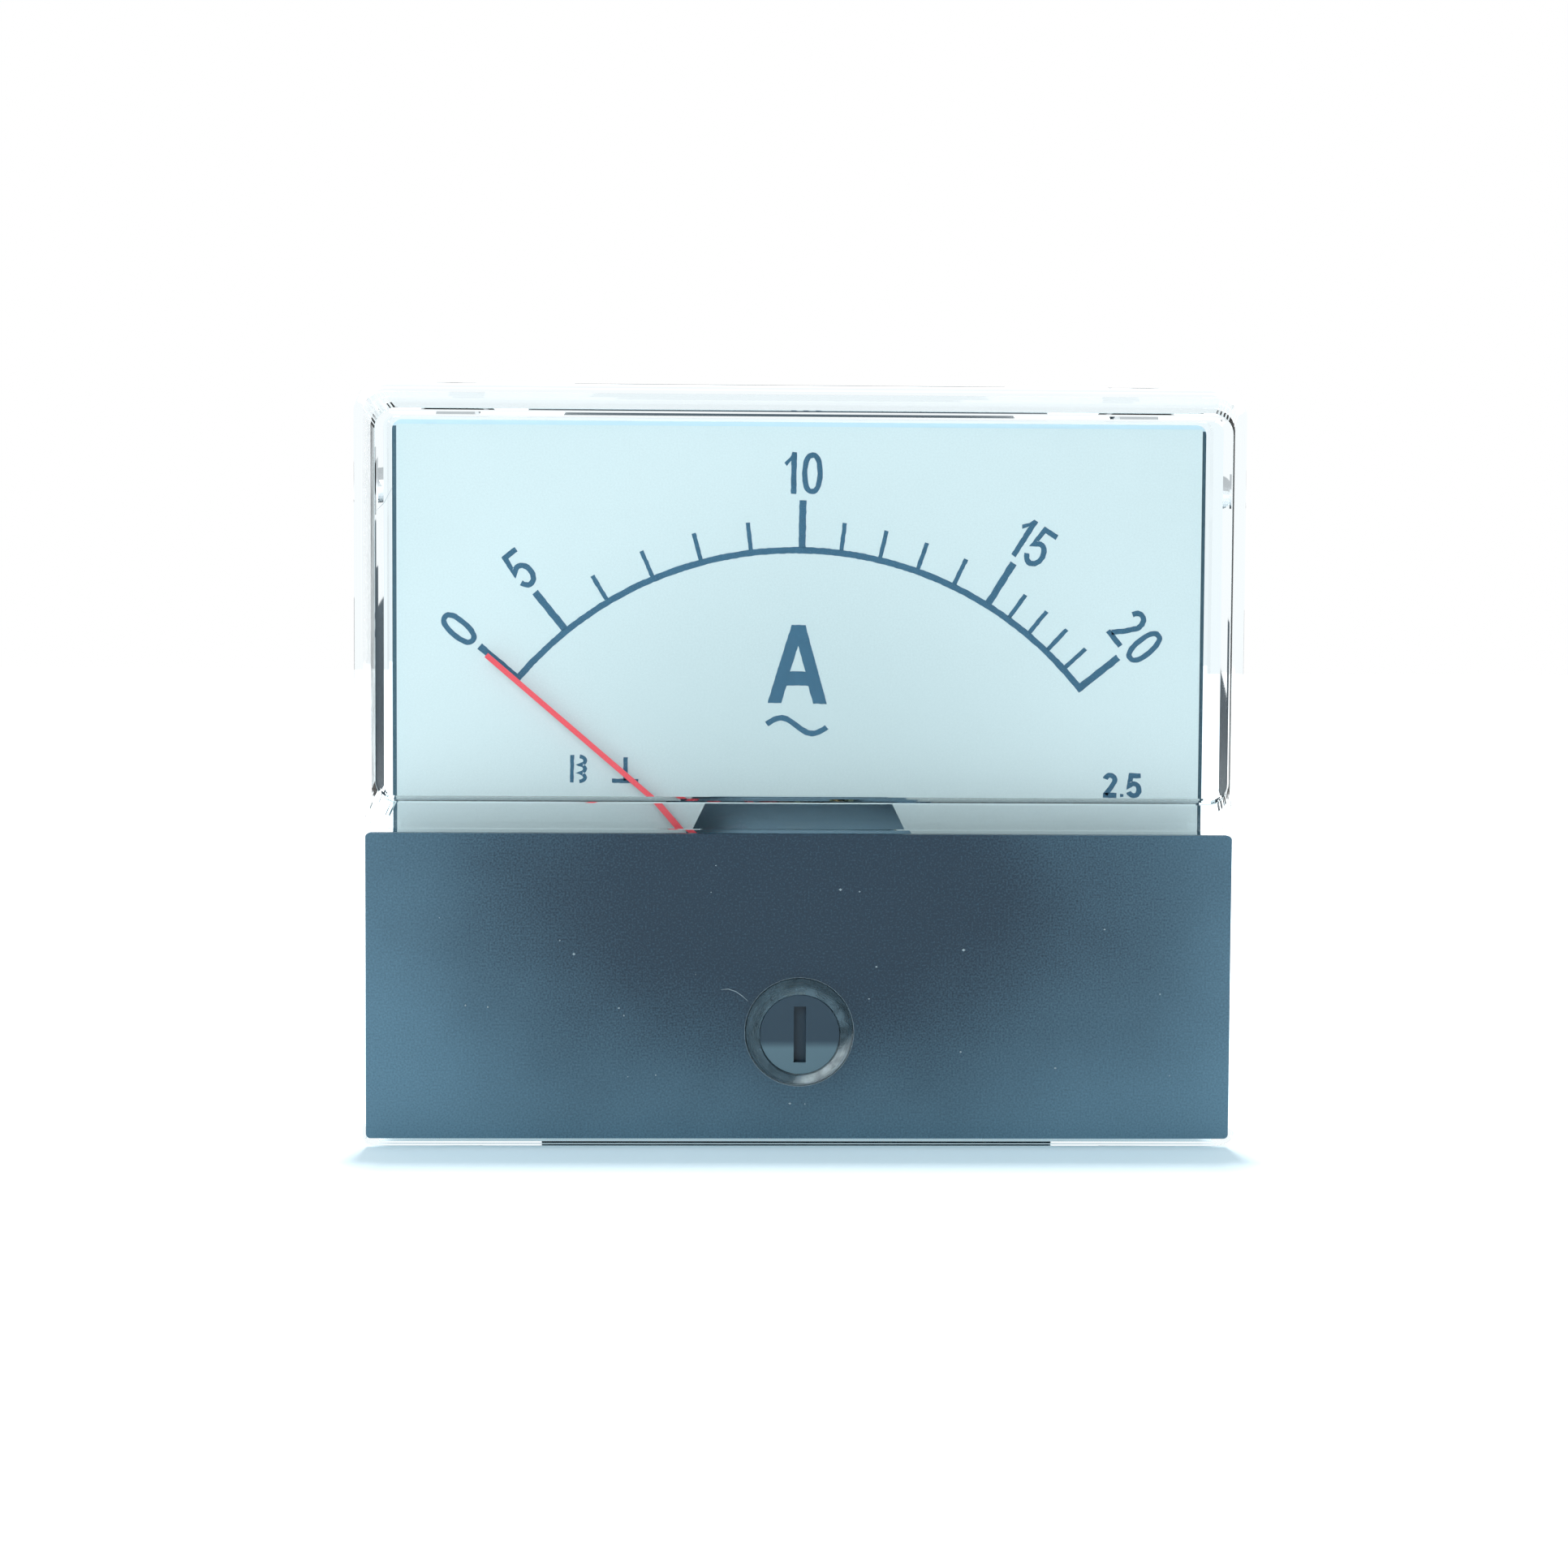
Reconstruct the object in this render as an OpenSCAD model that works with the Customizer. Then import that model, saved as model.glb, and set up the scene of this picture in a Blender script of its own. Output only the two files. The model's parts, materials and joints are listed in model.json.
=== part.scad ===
// Analog panel meter, a moving-iron ammeter with a clear rectangular front.
// +X is to the right of the dial, +Y goes back through the panel, +Z is up.
// The origin is the middle of the seat, where the flange meets the panel.

/* [Cover] */
// Width of the front
front_w = 70; // [66:0.5:76]
// Height of the front
front_h = 60; // [57:0.5:66]
// Depth of the flange in front of the panel
flange_depth = 6.4; // [6.2:0.1:8]
// Corner radius of the flange's upper corners
flange_r_top = 2.2; // [1.6:0.1:3]
// Corner radius of the flange's lower corners
flange_r_low = 1.5; // [1.2:0.1:2]
// Rounding of the flange's front edge
flange_edge = 0.4; // [0.2:0.1:0.8]
// Wall of the skirt that wraps round the base
skirt_wall = 2.5; // [2.3:0.1:2.7]
// Thickness of the flange's front plate
plate_t = 1.4; // [1.2:0.1:1.5]

/* [Window] */
// Height of the window block above the flange
window_depth = 8.2; // [6:0.1:10]
// Ledge between the flange's edge and the foot of the window block
window_ledge = 0.75; // [0.6:0.05:1.2]
// Height of the window block at its foot
window_h = 34.1; // [32:0.1:36]
// Corner radius of the window block at its foot
window_r = 1.6; // [1.2:0.1:2.4]
// How far each side leans in from foot to face
window_draft = 1.9; // [1:0.1:3]
// Rounding of the window block's front edge
window_edge = 0.3; // [0.2:0.05:0.6]
// Thickness of the window's front
window_t = 1.8; // [1.4:0.1:2.4]
// Thickness of the window's sides at their foot
window_wall = 0.95; // [0.8:0.05:1.2]
// How much thinner the window's sides are at the front
wall_taper = 0.06; // [0:0.02:0.2]

/* [Lower panel] */
// Distance from the black panel to the sides of the front
panel_side = 1; // [1:0.1:6]
// Gap between the window's foot and the black panel
panel_gap = 0.25; // [0.1:0.05:0.6]
// Distance from the black panel to the bottom of the front
panel_bottom = 0.85; // [0.8:0.05:2]
// Thickness of the black panel
panel_t = 1.1; // [0.8:0.1:1.6]
// Corner radius of the black panel
panel_r = 0.35; // [0.2:0.05:0.8]
// Width of the clear rim round the black panel
rim_w = 0.35; // [0.3:0.05:0.6]
// Height of the clear rim round the black panel
rim_h = 0.9; // [0.4:0.1:1.2]

/* [Zero adjuster] */
// Height of the adjuster's axis, below the middle of the front
adjuster_drop = 20.7; // [20.5:0.1:21.5]
// Outer radius of the clear boss at its foot
boss_r = 4.2; // [4:0.05:4.6]
// Outer radius of the clear boss at its rim
boss_rim_r = 3.85; // [3.7:0.05:3.95]
// Height of the clear boss above the flange
boss_h = 2.9; // [2.4:0.1:3.6]
// Depth of the pocket in the boss
boss_pocket = 2.1; // [1.8:0.1:2.3]
// Radius of the screw's head
head_r = 3.1; // [2.8:0.05:3.3]
// Thickness of the screw's head
head_t = 1.6; // [1.2:0.1:1.8]
// Width of the screwdriver slot
slot_w = 0.95; // [0.6:0.05:1.2]
// Length of the screwdriver slot
slot_l = 4.4; // [3:0.1:5]
// Depth of the screwdriver slot
slot_d = 0.9; // [0.5:0.1:1]
// Radius of the screw's shank
shank_r = 2.2; // [2.1:0.05:2.4]
// Radius of the eccentric pin
pin_r = 0.55; // [0.45:0.05:0.6]
// Distance of the eccentric pin from the screw's axis
pin_offset = 1.5; // [1.3:0.05:1.6]
// Thickness of the retaining clip
clip_t = 0.45; // [0.3:0.05:0.5]

/* [Base] */
// Thickness of the base plate
base_t = 2.4; // [2.2:0.1:2.6]
// Radius of the barrel
barrel_r = 25; // [24.5:0.1:26]
// Length of the barrel behind the panel
barrel_l = 28.5; // [28:0.1:36]
// Wall of the barrel
barrel_wall = 2; // [1.5:0.1:2.2]
// Thickness of the barrel's end
barrel_end = 2.5; // [2:0.1:3]
// Fillet at the barrel's root
root_r = 0.6; // [0.4:0.1:0.8]
// Bevel round the barrel's end
barrel_bevel = 0.8; // [0.4:0.1:1.5]
// Corner radius of the base plate
base_r = 0.8; // [0.5:0.1:1.5]
// Width of the tongue that holds the cover below
tongue_w = 41; // [30:1:44]
// Thickness of the tongue that holds the cover below
tongue_t = 1.2; // [0.8:0.1:1.4]
// Height of the barrier between the terminals
barrier_h = 5; // [2:0.5:8]
// Thickness of the barrier between the terminals
barrier_t = 1.6; // [1:0.1:3]

/* [Dial] */
// Gap between the dial plate's side edges and the sides of the front
dial_gap_side = 3; // [2.8:0.1:5]
// Gap between the dial plate's top edge and the top of the front
dial_gap_top = 3; // [2.8:0.1:4]
// Gap between the dial plate's bottom edge and the bottom of the front
dial_gap_low = 4; // [3:0.1:6]
// Thickness of the dial plate
dial_t = 0.6; // [0.4:0.1:0.8]
// Half width of the dial's opening at its top
opening_top = 7.1; // [6.5:0.1:8.5]
// Half width of the dial's opening below its flare
opening_bottom = 12; // [11.8:0.1:14]
// Height of the flare at the top of the dial's opening
opening_flare = 6.4; // [5:0.1:7]
// Height of the opening's top edge above the pointer's axis
opening_rise = 9.1; // [8.6:0.1:9.6]

/* [Pointer] */
// Distance of the pointer's axis below the middle of the front
axis_drop = 12.5; // [12.2:0.1:12.8]
// Length from the axis to the tip
pointer_l = 32.7; // [24:0.1:33.4]
// Width of the blade
blade_w = 0.42; // [0.3:0.02:0.8]
// Thickness of the pointer's sheet
blade_t = 0.3; // [0.2:0.05:0.4]
// Angle of the zero mark to the left of upright
zero_angle = 49.4; // [40:0.1:50.4]
// Distance of the blade in front of the dial
blade_gap = 0.8; // [0.6:0.1:1]
// Length of the balance arms
balance_l = 6.4; // [5:0.1:6.6]
// Radius of the balance weights
weight_r = 0.8; // [0.6:0.05:0.85]

/* [Movement] */
// Radius of the spindle
spindle_r = 0.35; // [0.3:0.05:0.4]
// Radius of the jewel screws
jewel_r = 1.5; // [1.3:0.05:1.7]
// Width of the front bridge
bridge_w = 4.4; // [4.2:0.1:4.8]
// Thickness of the front bridge
bridge_t = 1; // [0.8:0.1:1.2]
// Distance of the bridge's pillars from the axis
pillar_x = 9.6; // [9.4:0.1:10.5]
// Radius of the bridge's pillars
pillar_r = 1.7; // [1.6:0.05:1.8]
// Distance of the frame's screws from the axis
frame_screw_x = 15.5; // [15:0.1:15.8]
// Thickness of the movement frame
frame_t = 1.5; // [1.2:0.1:2]
// Distance from the seat back to the movement frame
frame_y = 1.5; // [1.3:0.1:2]
// Inner radius of the bobbin
bobbin_bore = 5.6; // [5.4:0.1:6]
// Wall of the bobbin's tube
bobbin_wall = 0.8; // [0.6:0.1:1]
// Radius of the bobbin's flanges
bobbin_r = 9.6; // [9.4:0.1:10]
// Length of the bobbin
bobbin_l = 12; // [10:0.1:13]
// Thickness of the bobbin's flanges
bobbin_flange = 1; // [0.8:0.1:1.2]
// Depth of the winding below the flange's rim
winding_rim = 0.4; // [0.2:0.1:0.8]
// Thickness of the iron vanes
vane_t = 0.4; // [0.3:0.05:0.5]
// Thickness of the damping vane
disc_t = 0.3; // [0.2:0.05:0.4]
// Radius of the damping vane
disc_r = 6.5; // [5:0.1:6.8]
// Turns of the hairspring
spring_turns = 4; // [3:1:5]
// Thickness of the hairspring's strip
spring_t = 0.1; // [0.08:0.01:0.14]
// Width of the hairspring's strip
spring_w = 0.35; // [0.25:0.05:0.4]

/* [Fixings] */
// Distance of the mounting studs from the sides of the front
stud_side = 7; // [6.5:0.25:7.5]
// Distance of the mounting studs from the top and the bottom of the front
stud_end = 7; // [6:0.25:7.5]
// Radius of the mounting studs
stud_r = 1.5; // [1.25:0.05:1.6]
// Length of the mounting studs behind the panel
stud_l = 16; // [12:0.5:24]
// Panel thickness that the mounting nuts leave free
panel_room = 3; // [2.5:0.5:6]
// Half the depth of the mounting studs' thread, where the nuts meet it
stud_bite = 0.16; // [0.1:0.02:0.2]
// Radius of the terminal studs
terminal_r = 2; // [1.9:0.05:2.5]
// Distance between the terminals
terminal_dx = 25; // [24:0.5:26]
// Length of the terminal studs behind the barrel
terminal_l = 14.5; // [13:0.5:20]
// Half the depth of the terminal studs' thread, where the nuts meet it
terminal_bite = 0.22; // [0.1:0.02:0.3]

/* [Hidden] */
$fn = 48;

// Clearances: a running shaft, a loose fit, and a slip past a moving piece
run = 0.05;
loose = 0.1;
slip = 0.3;
// Overshoot of a cutting tool past the face that it cuts
past = 1;
// Thickness of a section inside a hull
leaf = 0.01;

// Places along Y, from the front to the back
window_front = -(flange_depth + window_depth);
flange_front = -flange_depth;
plate_back = flange_front + plate_t;
panel_front = flange_front - panel_t;
base_front = -base_t;
dial_back = base_front;
dial_front = dial_back - dial_t;
blade_back = dial_front - blade_gap;
blade_front = blade_back - blade_t;

// The window block
window_w = front_w - 2 * window_ledge;
window_top = front_h / 2 - window_ledge;
window_foot = window_top - window_h;
window_mid = (window_top + window_foot) / 2;
window_lean = window_draft / (window_depth - window_edge);
inside_lean = window_lean - wall_taper / (window_depth - window_t);

// The lower panel
panel_w = front_w - 2 * panel_side;
panel_top_z = window_foot - panel_gap;
panel_bottom_z = -front_h / 2 + panel_bottom;
panel_h = panel_top_z - panel_bottom_z;
panel_mid = (panel_top_z + panel_bottom_z) / 2;

// The zero adjuster
adjuster_z = -adjuster_drop;
boss_front = flange_front - boss_h;
boss_floor = boss_front + boss_pocket;
boss_bore = head_r + loose;
head_back = boss_floor - run;
head_front = head_back - head_t;
clip_front = plate_back + run;
clip_back = clip_front + clip_t;
clip_r = shank_r + 0.9;
groove_r = shank_r - 0.4;
shank_back = clip_back + slip;

// The movement, along Y
axis_z = -axis_drop;
bridge_back = base_front + 1.2;
bridge_front = bridge_back - bridge_t;
lever_t = 0.45;
lever_back = bridge_front - run;
lever_front = lever_back - lever_t;
locknut_t = 0.8;
locknut_r = jewel_r + 1.05;
locknut_back = lever_front - run;
locknut_front = locknut_back - locknut_t;
jewel_front = locknut_front - slip;
jewel_cup = 0.5;
spring_front = bridge_back + 0.25;
spring_back = spring_front + spring_w;
collet_r = spindle_r + 0.5;
hub_front = spring_back + 0.15;
hub_back = hub_front + blade_t;
hub_r = 1.5;
cross_back = hub_back + 0.35;
cross_mid = (hub_back + cross_back) / 2;
frame_front = frame_y;
frame_back = frame_front + frame_t;
bobbin_front = frame_back;
bobbin_back = bobbin_front + bobbin_l;
magnet_t = 0.9;
disc_front = bobbin_back + magnet_t + 0.4;
disc_back = disc_front + disc_t;
rear_leg = 3.6;
rear_front = bobbin_back + rear_leg;
rear_t = 1.2;
rear_back = rear_front + rear_t;
rear_jewel_front = rear_front - 1.2;
spindle_front = bridge_back - jewel_cup + run;
spindle_back = rear_jewel_front + jewel_cup - run;

// The dial plate's edges
dial_top = front_h / 2 - dial_gap_top;
dial_bottom = front_h / 2 - dial_gap_low;
dial_w = front_w - 2 * dial_gap_side;

// The crank that takes the pointer through the dial's opening
crank_r0 = 4.7;
crank_r1 = 6.1;
arm_w = 0.7;

// The zero lever and the hairspring
pin_reach = adjuster_drop - axis_drop - pin_offset;
pin_back = lever_back + slip;
spring_r0 = collet_r + run + spring_t / 2;
spring_post_r = 0.3;
spring_post_z = 3.1;
spring_r1 = spring_post_z - spring_post_r - spring_t / 2;

// The tongue that holds the cover below
tongue_y = base_front + 0.3;
tongue_end = front_h / 2 - loose;
tongue_root = front_h / 2 - skirt_wall - 1;

// The barrel and its inside
cavity_r = barrel_r - barrel_wall;
cavity_back = barrel_l - barrel_end;
post_r = 2.5;
screw_r = 1;
screw_head_r = 1.8;
screw_head_t = 0.9;
dial_screw_x = dial_w / 2 - 5;
dial_screw_z = -14;
frame_top = opening_rise + 2;
frame_low = 9;
frame_screw_l = 6;
strap_w = 5.2;
strap_leg = 2;

// The studs
stud_dx = front_w - 2 * stud_side;
stud_dz = front_h - 2 * stud_end;
stud_head_r = stud_r + 1.25;
stud_head_t = 1;
shoulder_r = stud_r + 0.4;
washer_t = 0.5;
washer_rim = 2;
nut_t = 2.4;
nut_front = panel_room + washer_t;
nut_back = nut_front + nut_t;
nut_af = 5.5;
washer_r = stud_r + washer_rim;
stud_front = base_front + loose;
terminal_head_t = 1.6;
lug_t = 0.8;
terminal_head_back = cavity_back - lug_t;
terminal_end = barrel_l + terminal_l;
terminal_nut_t = 3.2;
terminal_nut_af = 7;
terminal_washer_t = 0.8;
terminal_rim = 2.3;
terminal_washer_r = terminal_r + terminal_rim;
spring_washer_t = 1;
spring_rim = 1.5;
spring_washer_r = terminal_r + spring_rim;
clamp_nut_y = barrel_l + terminal_washer_t;
outer_washer_y = clamp_nut_y + terminal_nut_t;
spring_washer_y = outer_washer_y + terminal_washer_t;
outer_nut_y = spring_washer_y + spring_washer_t;
terminal_free_y = outer_nut_y + terminal_nut_t;

// Rectangle with round corners, centred
module rounded_rect(w, h, r) {
    square([w - 2 * r, h], center = true);
    square([w, h - 2 * r], center = true);
    for (sx = [-1, 1], sz = [-1, 1]) {
        translate([sx * (w / 2 - r), sz * (h / 2 - r)]) circle(r = r);
    }
}

// Extrudes an outline, drawn as seen from the front, between two depths
module between(front, back) {
    translate([0, back, 0]) rotate([90, 0, 0]) linear_extrude(back - front) children();
}

// Rod along Y
module rod(r, front, back, x = 0, z = 0) {
    translate([x, back, z]) rotate([90, 0, 0]) cylinder(r = r, h = back - front);
}

// Ring along Y
module ring(r, bore, front, back, x = 0, z = 0) {
    difference() {
        rod(r, front, back, x, z);
        rod(bore, front - past, back + past, x, z);
    }
}

// Hexagonal nut along Y, by its width across flats
module hex_nut(af, bore, front, back, x = 0, z = 0) {
    difference() {
        translate([x, back, z]) rotate([90, 0, 0])
            cylinder(r = af / sqrt(3), h = back - front, $fn = 6);
        rod(bore, front - past, back + past, x, z);
    }
}

// Round-headed screw with a slot, entering from the front
module slotted_screw(front, back, x = 0, z = 0) {
    difference() {
        union() {
            rod(screw_head_r, front - screw_head_t, front, x, z);
            rod(screw_r, front - leaf, back, x, z);
        }
        translate([x - screw_head_r - past, front - screw_head_t - past, z - 0.2])
            cube([2 * (screw_head_r + past), past + 0.4, 0.4]);
    }
}

// Sector of a flat ring, drawn from the angle a0 to a1, clockwise from upright
module sector(r0, r1, a0, a1, steps = 12) {
    polygon(concat(
        [for (i = [0:steps]) let (a = a0 + (a1 - a0) * i / steps) r1 * [sin(a), cos(a)]],
        [for (i = [steps:-1:0]) let (a = a0 + (a1 - a0) * i / steps) r0 * [sin(a), cos(a)]]));
}

// Thin section of the window block, inset from its foot
module window_section(depth, inset, r) {
    between(flange_front - depth, flange_front - depth + leaf)
        translate([0, window_mid]) rounded_rect(window_w - 2 * inset, window_h - 2 * inset, r, $fn = 32);
}

// The outside of the window block, with its front edge rounded
module window_outside() {
    hull() {
        window_section(0, 0, window_r);
        for (a = [0:30:90]) {
            window_section(window_depth - window_edge * (1 - sin(a)),
                window_draft + window_edge * (1 - cos(a)), window_r - window_edge * (1 - cos(a)));
        }
    }
}

// The room inside the window block
module window_inside() {
    hull() {
        window_section(-plate_t - leaf, window_wall - inside_lean * plate_t, window_r / 2);
        window_section(window_depth - window_t,
            window_wall + inside_lean * (window_depth - window_t), window_r / 2);
    }
}

// Corners of a thin section of the flange, for a hull to join
module flange_section(y, inset) {
    between(y, y + leaf) for (sx = [-1, 1], corner = [[1, flange_r_top], [-1, flange_r_low]]) {
        r = corner[1];
        translate([sx * (front_w / 2 - r), corner[0] * (front_h / 2 - r)]) circle(r = r - inset, $fn = 32);
    }
}

// Clear rim that frames the lower panel at the sides and below
module panel_rim() {
    rim_top = window_foot + window_lean * rim_h;
    room_w = panel_w + loose;
    room_low = panel_bottom_z - loose / 2;
    outer_r = panel_r + rim_w;
    outer_w = room_w + 2 * rim_w;
    outer_low = room_low - rim_w;
    between(flange_front - rim_h, flange_front + leaf) difference() {
        union() {
            translate([-outer_w / 2, outer_low + outer_r]) square([outer_w, rim_top - outer_low - outer_r]);
            translate([-outer_w / 2 + outer_r, outer_low]) square([outer_w - 2 * outer_r, 2 * outer_r]);
            for (s = [-1, 1]) translate([s * (outer_w / 2 - outer_r), outer_low + outer_r]) circle(r = outer_r);
        }
        translate([-room_w / 2, room_low]) square([room_w, panel_h + 2 * loose + panel_gap + window_h]);
    }
}

// Clear boss round the adjuster, turned about its own axis
module adjuster_boss() {
    translate([0, flange_front + leaf, adjuster_z]) rotate([90, 0, 0]) rotate_extrude()
        polygon([[0, 0], [boss_r, 0], [boss_r, panel_t], [boss_rim_r, boss_h - 0.25],
            [boss_rim_r - 0.1, boss_h - 0.07], [boss_rim_r - 0.25, boss_h + leaf], [0, boss_h + leaf]]);
}

module cover() color("lightcyan", 0.35) {
    difference() {
        union() {
            hull() {
                flange_section(-leaf, 0);
                for (a = [0:30:90]) {
                    flange_section(flange_front + flange_edge * (1 - sin(a)), flange_edge * (1 - cos(a)));
                }
            }
            window_outside();
            panel_rim();
            adjuster_boss();
        }
        window_inside();
        between(plate_back, past)
            rounded_rect(front_w - 2 * skirt_wall, front_h - 2 * skirt_wall, base_r + loose);
        rod(boss_bore, boss_front - past, boss_floor, 0, adjuster_z);
        rod(shank_r + run, boss_floor - leaf, plate_back + past, 0, adjuster_z);
        translate([-tongue_w / 2 - loose, tongue_y - loose, -front_h / 2 - past])
            cube([tongue_w + 2 * loose, tongue_t + 2 * loose, front_h / 2 - tongue_root + past]);
    }
}

module lower_panel() color("#2b3038") {
    difference() {
        between(panel_front, flange_front) translate([0, panel_mid]) rounded_rect(panel_w, panel_h, panel_r);
        rod(boss_r + loose, panel_front - past, flange_front + past, 0, adjuster_z);
    }
}

module adjuster_screw() color("#20242a") {
    difference() {
        union() {
            rod(head_r, head_front, head_back, 0, adjuster_z);
            rod(shank_r, head_back - leaf, shank_back, 0, adjuster_z);
            rod(pin_r, shank_back - leaf, pin_back, 0, adjuster_z + pin_offset);
        }
        translate([-slot_w / 2, head_front - past, adjuster_z - slot_l / 2])
            cube([slot_w, slot_d + past, slot_l]);
        ring(shank_r + past, groove_r, clip_front, clip_back, 0, adjuster_z);
    }
}

module adjuster_clip() color("silver") ring(clip_r, groove_r, clip_front, clip_back, 0, adjuster_z);

// Fillet between the barrel and the back of the base plate
module barrel_root() {
    difference() {
        rod(barrel_r + root_r, -leaf, root_r);
        translate([0, root_r, 0]) rotate([90, 0, 0]) rotate_extrude()
            translate([barrel_r + root_r, 0]) circle(r = root_r);
    }
}

module base_housing() color("#1d2024") {
    base_w = front_w - 2 * (skirt_wall + loose);
    base_h = front_h - 2 * (skirt_wall + loose);
    difference() {
        union() {
            between(base_front, 0) rounded_rect(base_w, base_h, base_r);
            rod(barrel_r, -leaf, barrel_l - barrel_bevel);
            barrel_root();
            translate([0, barrel_l - barrel_bevel, 0]) rotate([-90, 0, 0])
                cylinder(r1 = barrel_r, r2 = barrel_r - barrel_bevel, h = barrel_bevel);
            translate([-tongue_w / 2, tongue_y, -tongue_end])
                cube([tongue_w, tongue_t, tongue_end - tongue_root]);
        }
        rod(cavity_r, base_front - past, cavity_back);
        for (sx = [-1, 1], sz = [-1, 1]) {
            rod(shoulder_r, base_front - past, past, sx * stud_dx / 2, sz * stud_dz / 2);
            rod(stud_head_r, base_front - past, stud_front + stud_head_t, sx * stud_dx / 2, sz * stud_dz / 2);
        }
        for (s = [-1, 1]) {
            rod(terminal_r, cavity_back - past, barrel_l + past, s * terminal_dx / 2);
            rod(screw_r, base_front - past, -0.6, s * dial_screw_x, dial_screw_z);
        }
    }
    for (s = [-1, 1]) {
        ring(post_r, screw_r, frame_back, cavity_back, s * frame_screw_x, axis_z);
    }
    translate([-barrier_t / 2, barrel_l - leaf, -barrel_r * 0.5]) cube([barrier_t, barrier_h, barrel_r]);
}

module dial_plate() color("#d9e6e8") {
    opening_z = axis_z + opening_rise;
    difference() {
        between(dial_front, dial_back) difference() {
            translate([-dial_w / 2, -dial_bottom]) square([dial_w, dial_top + dial_bottom]);
            polygon([[-opening_top, opening_z], [opening_top, opening_z],
                [opening_bottom, opening_z - opening_flare], [opening_bottom, -dial_bottom - past],
                [-opening_bottom, -dial_bottom - past], [-opening_bottom, opening_z - opening_flare]]);
        }
        for (s = [-1, 1]) rod(screw_r, dial_front - past, dial_back + past, s * dial_screw_x, dial_screw_z);
    }
}

module dial_screws() color("silver") {
    for (s = [-1, 1]) slotted_screw(dial_front, -0.8, s * dial_screw_x, dial_screw_z);
}

// Sheet strip bent in the plane of the pointer, swept across its width
module bent_strip(width, outline) {
    translate([-width / 2, 0, 0]) rotate([90, 0, 90]) linear_extrude(width) polygon(outline);
}

// The pointer, pointing up with its axis at the origin
module upright_pointer() {
    bend = blade_t * 0.6;
    ring(hub_r, spindle_r, hub_front, hub_back);
    difference() {
        bent_strip(arm_w, [[hub_front, 0], [hub_front, crank_r0 - bend], [blade_front, crank_r1 - bend],
            [blade_front, crank_r1 + bend], [blade_back, crank_r1 + bend], [hub_back, crank_r0 + bend],
            [hub_back, 0]]);
        rod((hub_r + spindle_r) / 2, hub_front - past, hub_back + past);
    }
    translate([-blade_w / 2, blade_front, crank_r1]) cube([blade_w, blade_t, pointer_l - crank_r1]);
}

// Puts what is drawn about the origin on the pointer's axis, turned to the zero mark
module at_zero() {
    translate([0, 0, axis_z]) rotate([0, -zero_angle, 0]) children();
}

module pointer() color("#c8404c") at_zero() upright_pointer();

module balance_cross() color("goldenrod") at_zero() {
    difference() {
        between(hub_back, cross_back) {
            circle(r = hub_r);
            for (a = [90, 180, 270]) rotate([0, 0, a]) translate([-0.3, 0]) square([0.6, balance_l]);
        }
        rod(spindle_r, hub_back - past, cross_back + past);
    }
}

module balance_weights() color("gold") at_zero() {
    difference() {
        for (a = [90, 180, 270]) rotate([0, a, 0]) translate([0, cross_mid, balance_l - 1.5])
            cylinder(r = weight_r, h = 1.2);
        between(hub_back, cross_back)
            for (a = [90, 180, 270]) rotate([0, 0, a]) translate([-0.3, 0]) square([0.6, balance_l + past]);
    }
}

module spindle() color("silver") rod(spindle_r, spindle_front, spindle_back, 0, axis_z);

module spring_collet() color("gold")
    ring(collet_r, spindle_r, spring_front, hub_front, 0, axis_z);

// Spiral strip from the collet out to the lever's post
module hairspring() color("#b08050") {
    steps = 24 * spring_turns;
    reach = spring_r1 - spring_r0;
    translate([0, 0, axis_z]) between(spring_front, spring_back) polygon(concat(
        [for (i = [0:steps]) let (a = 360 * spring_turns * i / steps)
            (spring_r0 + reach * i / steps + spring_t / 2) * [sin(a), cos(a)]],
        [for (i = [steps:-1:0]) let (a = 360 * spring_turns * i / steps)
            (spring_r0 + reach * i / steps - spring_t / 2) * [sin(a), cos(a)]]));
}

// Lever with a fork for the eccentric pin below and a post for the hairspring above
module zero_lever() color("goldenrod") {
    fork = pin_r + 0.15;
    translate([0, 0, axis_z]) {
        difference() {
            between(lever_front, lever_back) {
                circle(r = locknut_r);
                translate([-0.7, 0]) square([1.4, spring_post_z + 0.6]);
                translate([-fork - 0.9, -pin_reach - 1.5]) square([2 * (fork + 0.9), pin_reach + 1.5]);
            }
            rod(jewel_r + run, lever_front - past, lever_back + past);
            translate([-fork, lever_front - past, -pin_reach - 1.5 - past])
                cube([2 * fork, lever_t + 2 * past, past + 3]);
        }
        rod(spring_post_r, lever_back - leaf, hub_front - 0.1, 0, spring_post_z);
    }
}

module front_bridge() color("gold") {
    difference() {
        between(bridge_front, bridge_back) translate([0, axis_z]) {
            square([2 * pillar_x, bridge_w], center = true);
            for (s = [-1, 1]) translate([s * pillar_x, 0]) circle(r = bridge_w / 2);
        }
        rod(jewel_r, bridge_front - past, bridge_back + past, 0, axis_z);
        for (s = [-1, 1]) rod(screw_r, bridge_front - past, bridge_back + past, s * pillar_x, axis_z);
    }
}

module bridge_screws() color("silver") {
    for (s = [-1, 1]) slotted_screw(bridge_front, frame_front, s * pillar_x, axis_z);
}

module front_jewel_screw() color("gold") {
    difference() {
        rod(jewel_r, jewel_front, bridge_back, 0, axis_z);
        rod(spindle_r + run, bridge_back - jewel_cup, bridge_back + past, 0, axis_z);
        translate([-jewel_r - past, jewel_front - past, axis_z - 0.2])
            cube([2 * (jewel_r + past), past + 0.5, 0.4]);
    }
}

module rear_jewel_screw() color("gold") {
    difference() {
        rod(jewel_r, rear_jewel_front, rear_back + locknut_t + slip, 0, axis_z);
        rod(spindle_r + run, rear_jewel_front - past, rear_jewel_front + jewel_cup, 0, axis_z);
    }
}

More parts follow.
